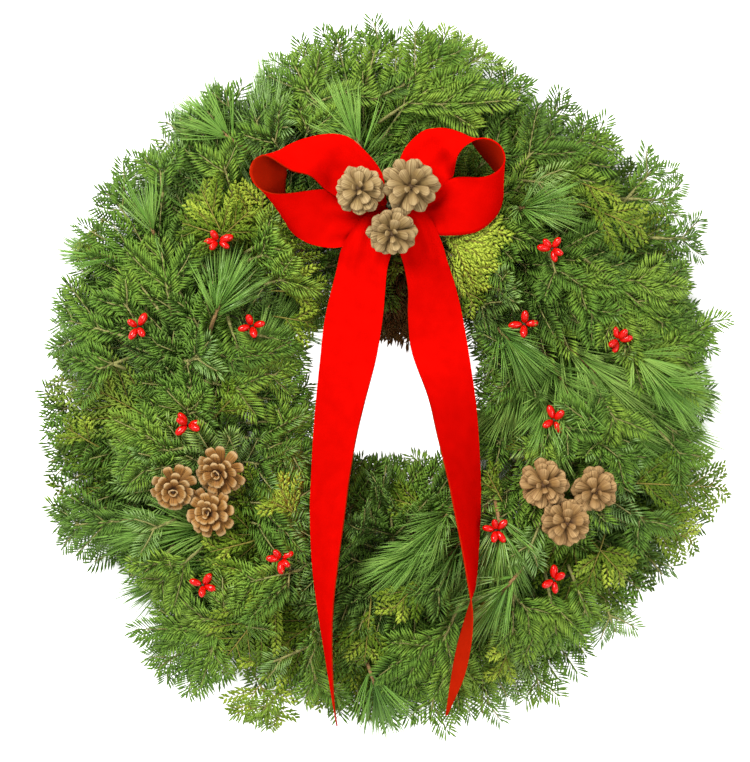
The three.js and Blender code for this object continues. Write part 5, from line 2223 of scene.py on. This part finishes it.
@dataclass
class BerryPicks:
    """Twelve picks of glossy berries, fanned out from a wire that reaches down to the stems."""

    plan: BranchPlan
    view: PhotoView
    place: Place
    covers: Covers
    dome: Dome = field(default_factory=Dome)
    length: float = 11.5
    width: float = 6.4
    size_range: Pair = (0.9, 1.12)
    fuller_end: Pair = (0.94, 1.06)
    stalk: float = 1.4
    stalk_wire: float = 0.55
    seed: int = 33
    sink: float = 6.0
    spread: float = 13.0
    bowl_slope: float = 0.7
    squash: float = 0.6
    turn_jitter: float = 8
    fan_jitter: float = 19
    leans: Pair = (64, 40)
    lean_jitter: float = 5
    lean_more: Pair = (8, 22)
    leg_top: float = 2.0
    leg_radii: Row = (0.8, 0.8, 1.1)
    spots: tuple[tuple[float, float, int, float], ...] = (
        (218, 241, 5, 0),
        (552, 249, 5, -15),
        (524, 324, 4, 10),
        (618, 340, 5, 40),
        (554, 420, 4, 40),
        (496, 530, 5, 80),
        (554, 580, 4, 75),
        (281, 559, 5, 5),
        (203, 585, 4, -5),
        (188, 424, 5, 0),
        (138, 327, 4, -30),
        (252, 326, 4, -35),
    )

    def build(self) -> None:
        """Builds every pick. Its draws are the first ones of the seeded rule."""
        lacquer = BerryLacquer("red lacquered berry").material()
        papered = DrawnWire("picks' wire under dark green paper", 0.7, LACQUER_IOR, 0.0, "#3c3a1e", "#28260f")
        wire = papered.material()
        rng = np.random.default_rng(self.seed)
        rule = self.plan.rule
        for number, (x, y, count, widest) in enumerate(self.spots):
            node = f"berry_pick_{number + 1:02d}"
            ring_x, ring_y = self.view.ring_middle
            from_middle = np.array([x - ring_x, ring_y - y, 0.0]) * self.view.pixel
            hub = self.view.at(x, y, float(self.dome.height(from_middle)) - self.sink)
            start = rule.draw() * 360
            mesh = PieceMesh()
            for k in range(count):
                turn = start + k * 360 / count + rule.jitter(self.turn_jitter)
                lean = self.leans[k % 2] + rule.jitter(self.lean_jitter) + rng.uniform(*self.lean_more)
                lean = math.radians(lean)
                turn = math.radians(turn + rng.uniform(-self.fan_jitter, self.fan_jitter) - widest)
                fanned = math.degrees(math.atan2(math.sin(turn) * self.squash, math.cos(turn))) + widest
                direction = polar(fanned, math.sin(lean), math.cos(lean))
                self.berry(mesh, hub, direction, rng.uniform(*self.size_range))
            leg = np.array([self.place.foot_of(node), hub, hub - DOWN * self.leg_top])
            mesh.add_rod(leg, np.array(self.leg_radii), sides=6)
            self.covers.lay_bowl(hub + DOWN, self.spread, self.bowl_slope)
            piece = mesh.build(f"{node}_glossy", [lacquer, wire], self.place)
            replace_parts(piece, node)

    def berry(self, mesh: PieceMesh, hub: Array, direction: Array, size: float) -> None:
        """Adds one oval berry on its wire stalk.

        Args:
            mesh: the piece to add to.
            hub: where the stalks meet.
            direction: the unit vector that it points along.
            size: its size, as a share of the usual one.
        """
        share = (1 - np.cos(np.linspace(0, math.pi, 11))) / 2
        reach = self.stalk + share * self.length * size
        oval = np.sqrt(np.clip(1 - (2 * share - 1) ** 2, 0, 1))
        radii = oval * self.width / 2 * size * mix(*self.fuller_end, share)
        mesh.add_tube(hub + direction * reach[:, None], np.maximum(radii, 0.05), 12)
        places = np.array([0.0, self.stalk * 0.5, self.stalk + 0.6])
        mesh.add_rod(hub + direction * places[:, None], np.full(3, self.stalk_wire), sides=6)


@dataclass
class Studio:
    """The pale floor, the soft lights and the camera straight above.

    Each lamp has a name, a place and a size in metres, and a power in watts.
    """

    view: PhotoView
    place: Place
    sensor: float = 36.0
    farthest: float = 20.0
    floor_half: float = 4.0
    floor_gap: float = 0.5
    sky: float = 0.68
    lamps: tuple[tuple[str, tuple[float, float, float], float, float], ...] = (
        ("key", (-1.2, 1.4, 2.4), 1.5, 114.0),
        ("fill", (1.7, -0.9, 2.1), 1.6, 34.0),
    )

    def build(self) -> None:
        """Sets up the floor, the lights and the camera."""
        self.floor()
        self.lights()
        self.camera()

    def floor(self) -> None:
        """Lays the floor just under the ring, with the ring's middle as its origin."""
        half = self.floor_half
        mesh = bpy.data.meshes.new("floor")
        corners = [(-half, -half, 0.0), (half, -half, 0.0), (half, half, 0.0), (-half, half, 0.0)]
        mesh.from_pydata(corners, [], [(0, 1, 2, 3)])
        mesh.materials.append(PaleFloor("matt white paper with a painted glow").material())
        floor = bpy.data.objects.new("floor", mesh)
        floor.location = self.place.to_frame(DOWN * self.floor_gap)
        bpy.context.scene.collection.objects.link(floor)

    def lights(self) -> None:
        """Hangs a large soft light up and to the left, a weaker one opposite, and an even sky."""
        scene = bpy.context.scene
        for name, spot, size, power in self.lamps:
            lamp = bpy.data.lights.new(name, "AREA")
            lamp.shape = "SQUARE"
            lamp.size = size
            lamp.energy = power
            light = bpy.data.objects.new(name, lamp)
            light.location = spot
            light.rotation_mode = "QUATERNION"
            light.rotation_quaternion = (-Vector(spot)).to_track_quat("-Z", "Y")
            scene.collection.objects.link(light)
        world = bpy.data.worlds.new("soft white room")
        scene.world = world
        world.use_nodes = True
        background = world.node_tree.nodes["Background"]
        background.inputs["Color"].default_value = linear("#ffffff")
        background.inputs["Strength"].default_value = self.sky
        scene.view_settings.view_transform = "Standard"

    def camera(self) -> None:
        """Puts the camera above the middle of the photograph, with its long side on the sensor."""
        spot = self.view.at(*self.view.middle, self.view.camera_height)
        data = bpy.data.cameras.new("camera")
        data.sensor_width = self.sensor
        seen = max(self.view.width, self.view.height) * self.view.pixel
        data.lens = self.sensor * (self.view.camera_height - self.view.rim_height) / seen
        data.clip_end = self.farthest
        camera = bpy.data.objects.new("camera", data)
        camera.location = self.place.to_frame(spot)
        bpy.context.scene.collection.objects.link(camera)
        bpy.context.scene.camera = camera


def clear_scene() -> None:
    """Takes away what a new file holds."""
    for thing in list(bpy.data.objects):
        bpy.data.objects.remove(thing)


def main() -> None:
    """Builds the wreath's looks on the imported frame."""
    logging.basicConfig(level=logging.INFO, format="%(name)s: %(message)s")
    clear_scene()
    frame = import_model()
    view = PhotoView()
    place = Place(frame["record"])
    plan = BranchPlan()
    covers = Covers()
    Studio(view, place).build()
    ClampRing(plan, place).build()
    Bow(view, place, covers).build()
    PineCones(view, place, covers).build()
    BerryPicks(plan, view, place, covers).build()
    Foliage(plan, view, place, covers).grow()
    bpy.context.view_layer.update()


if __name__ == "__main__":
    main()
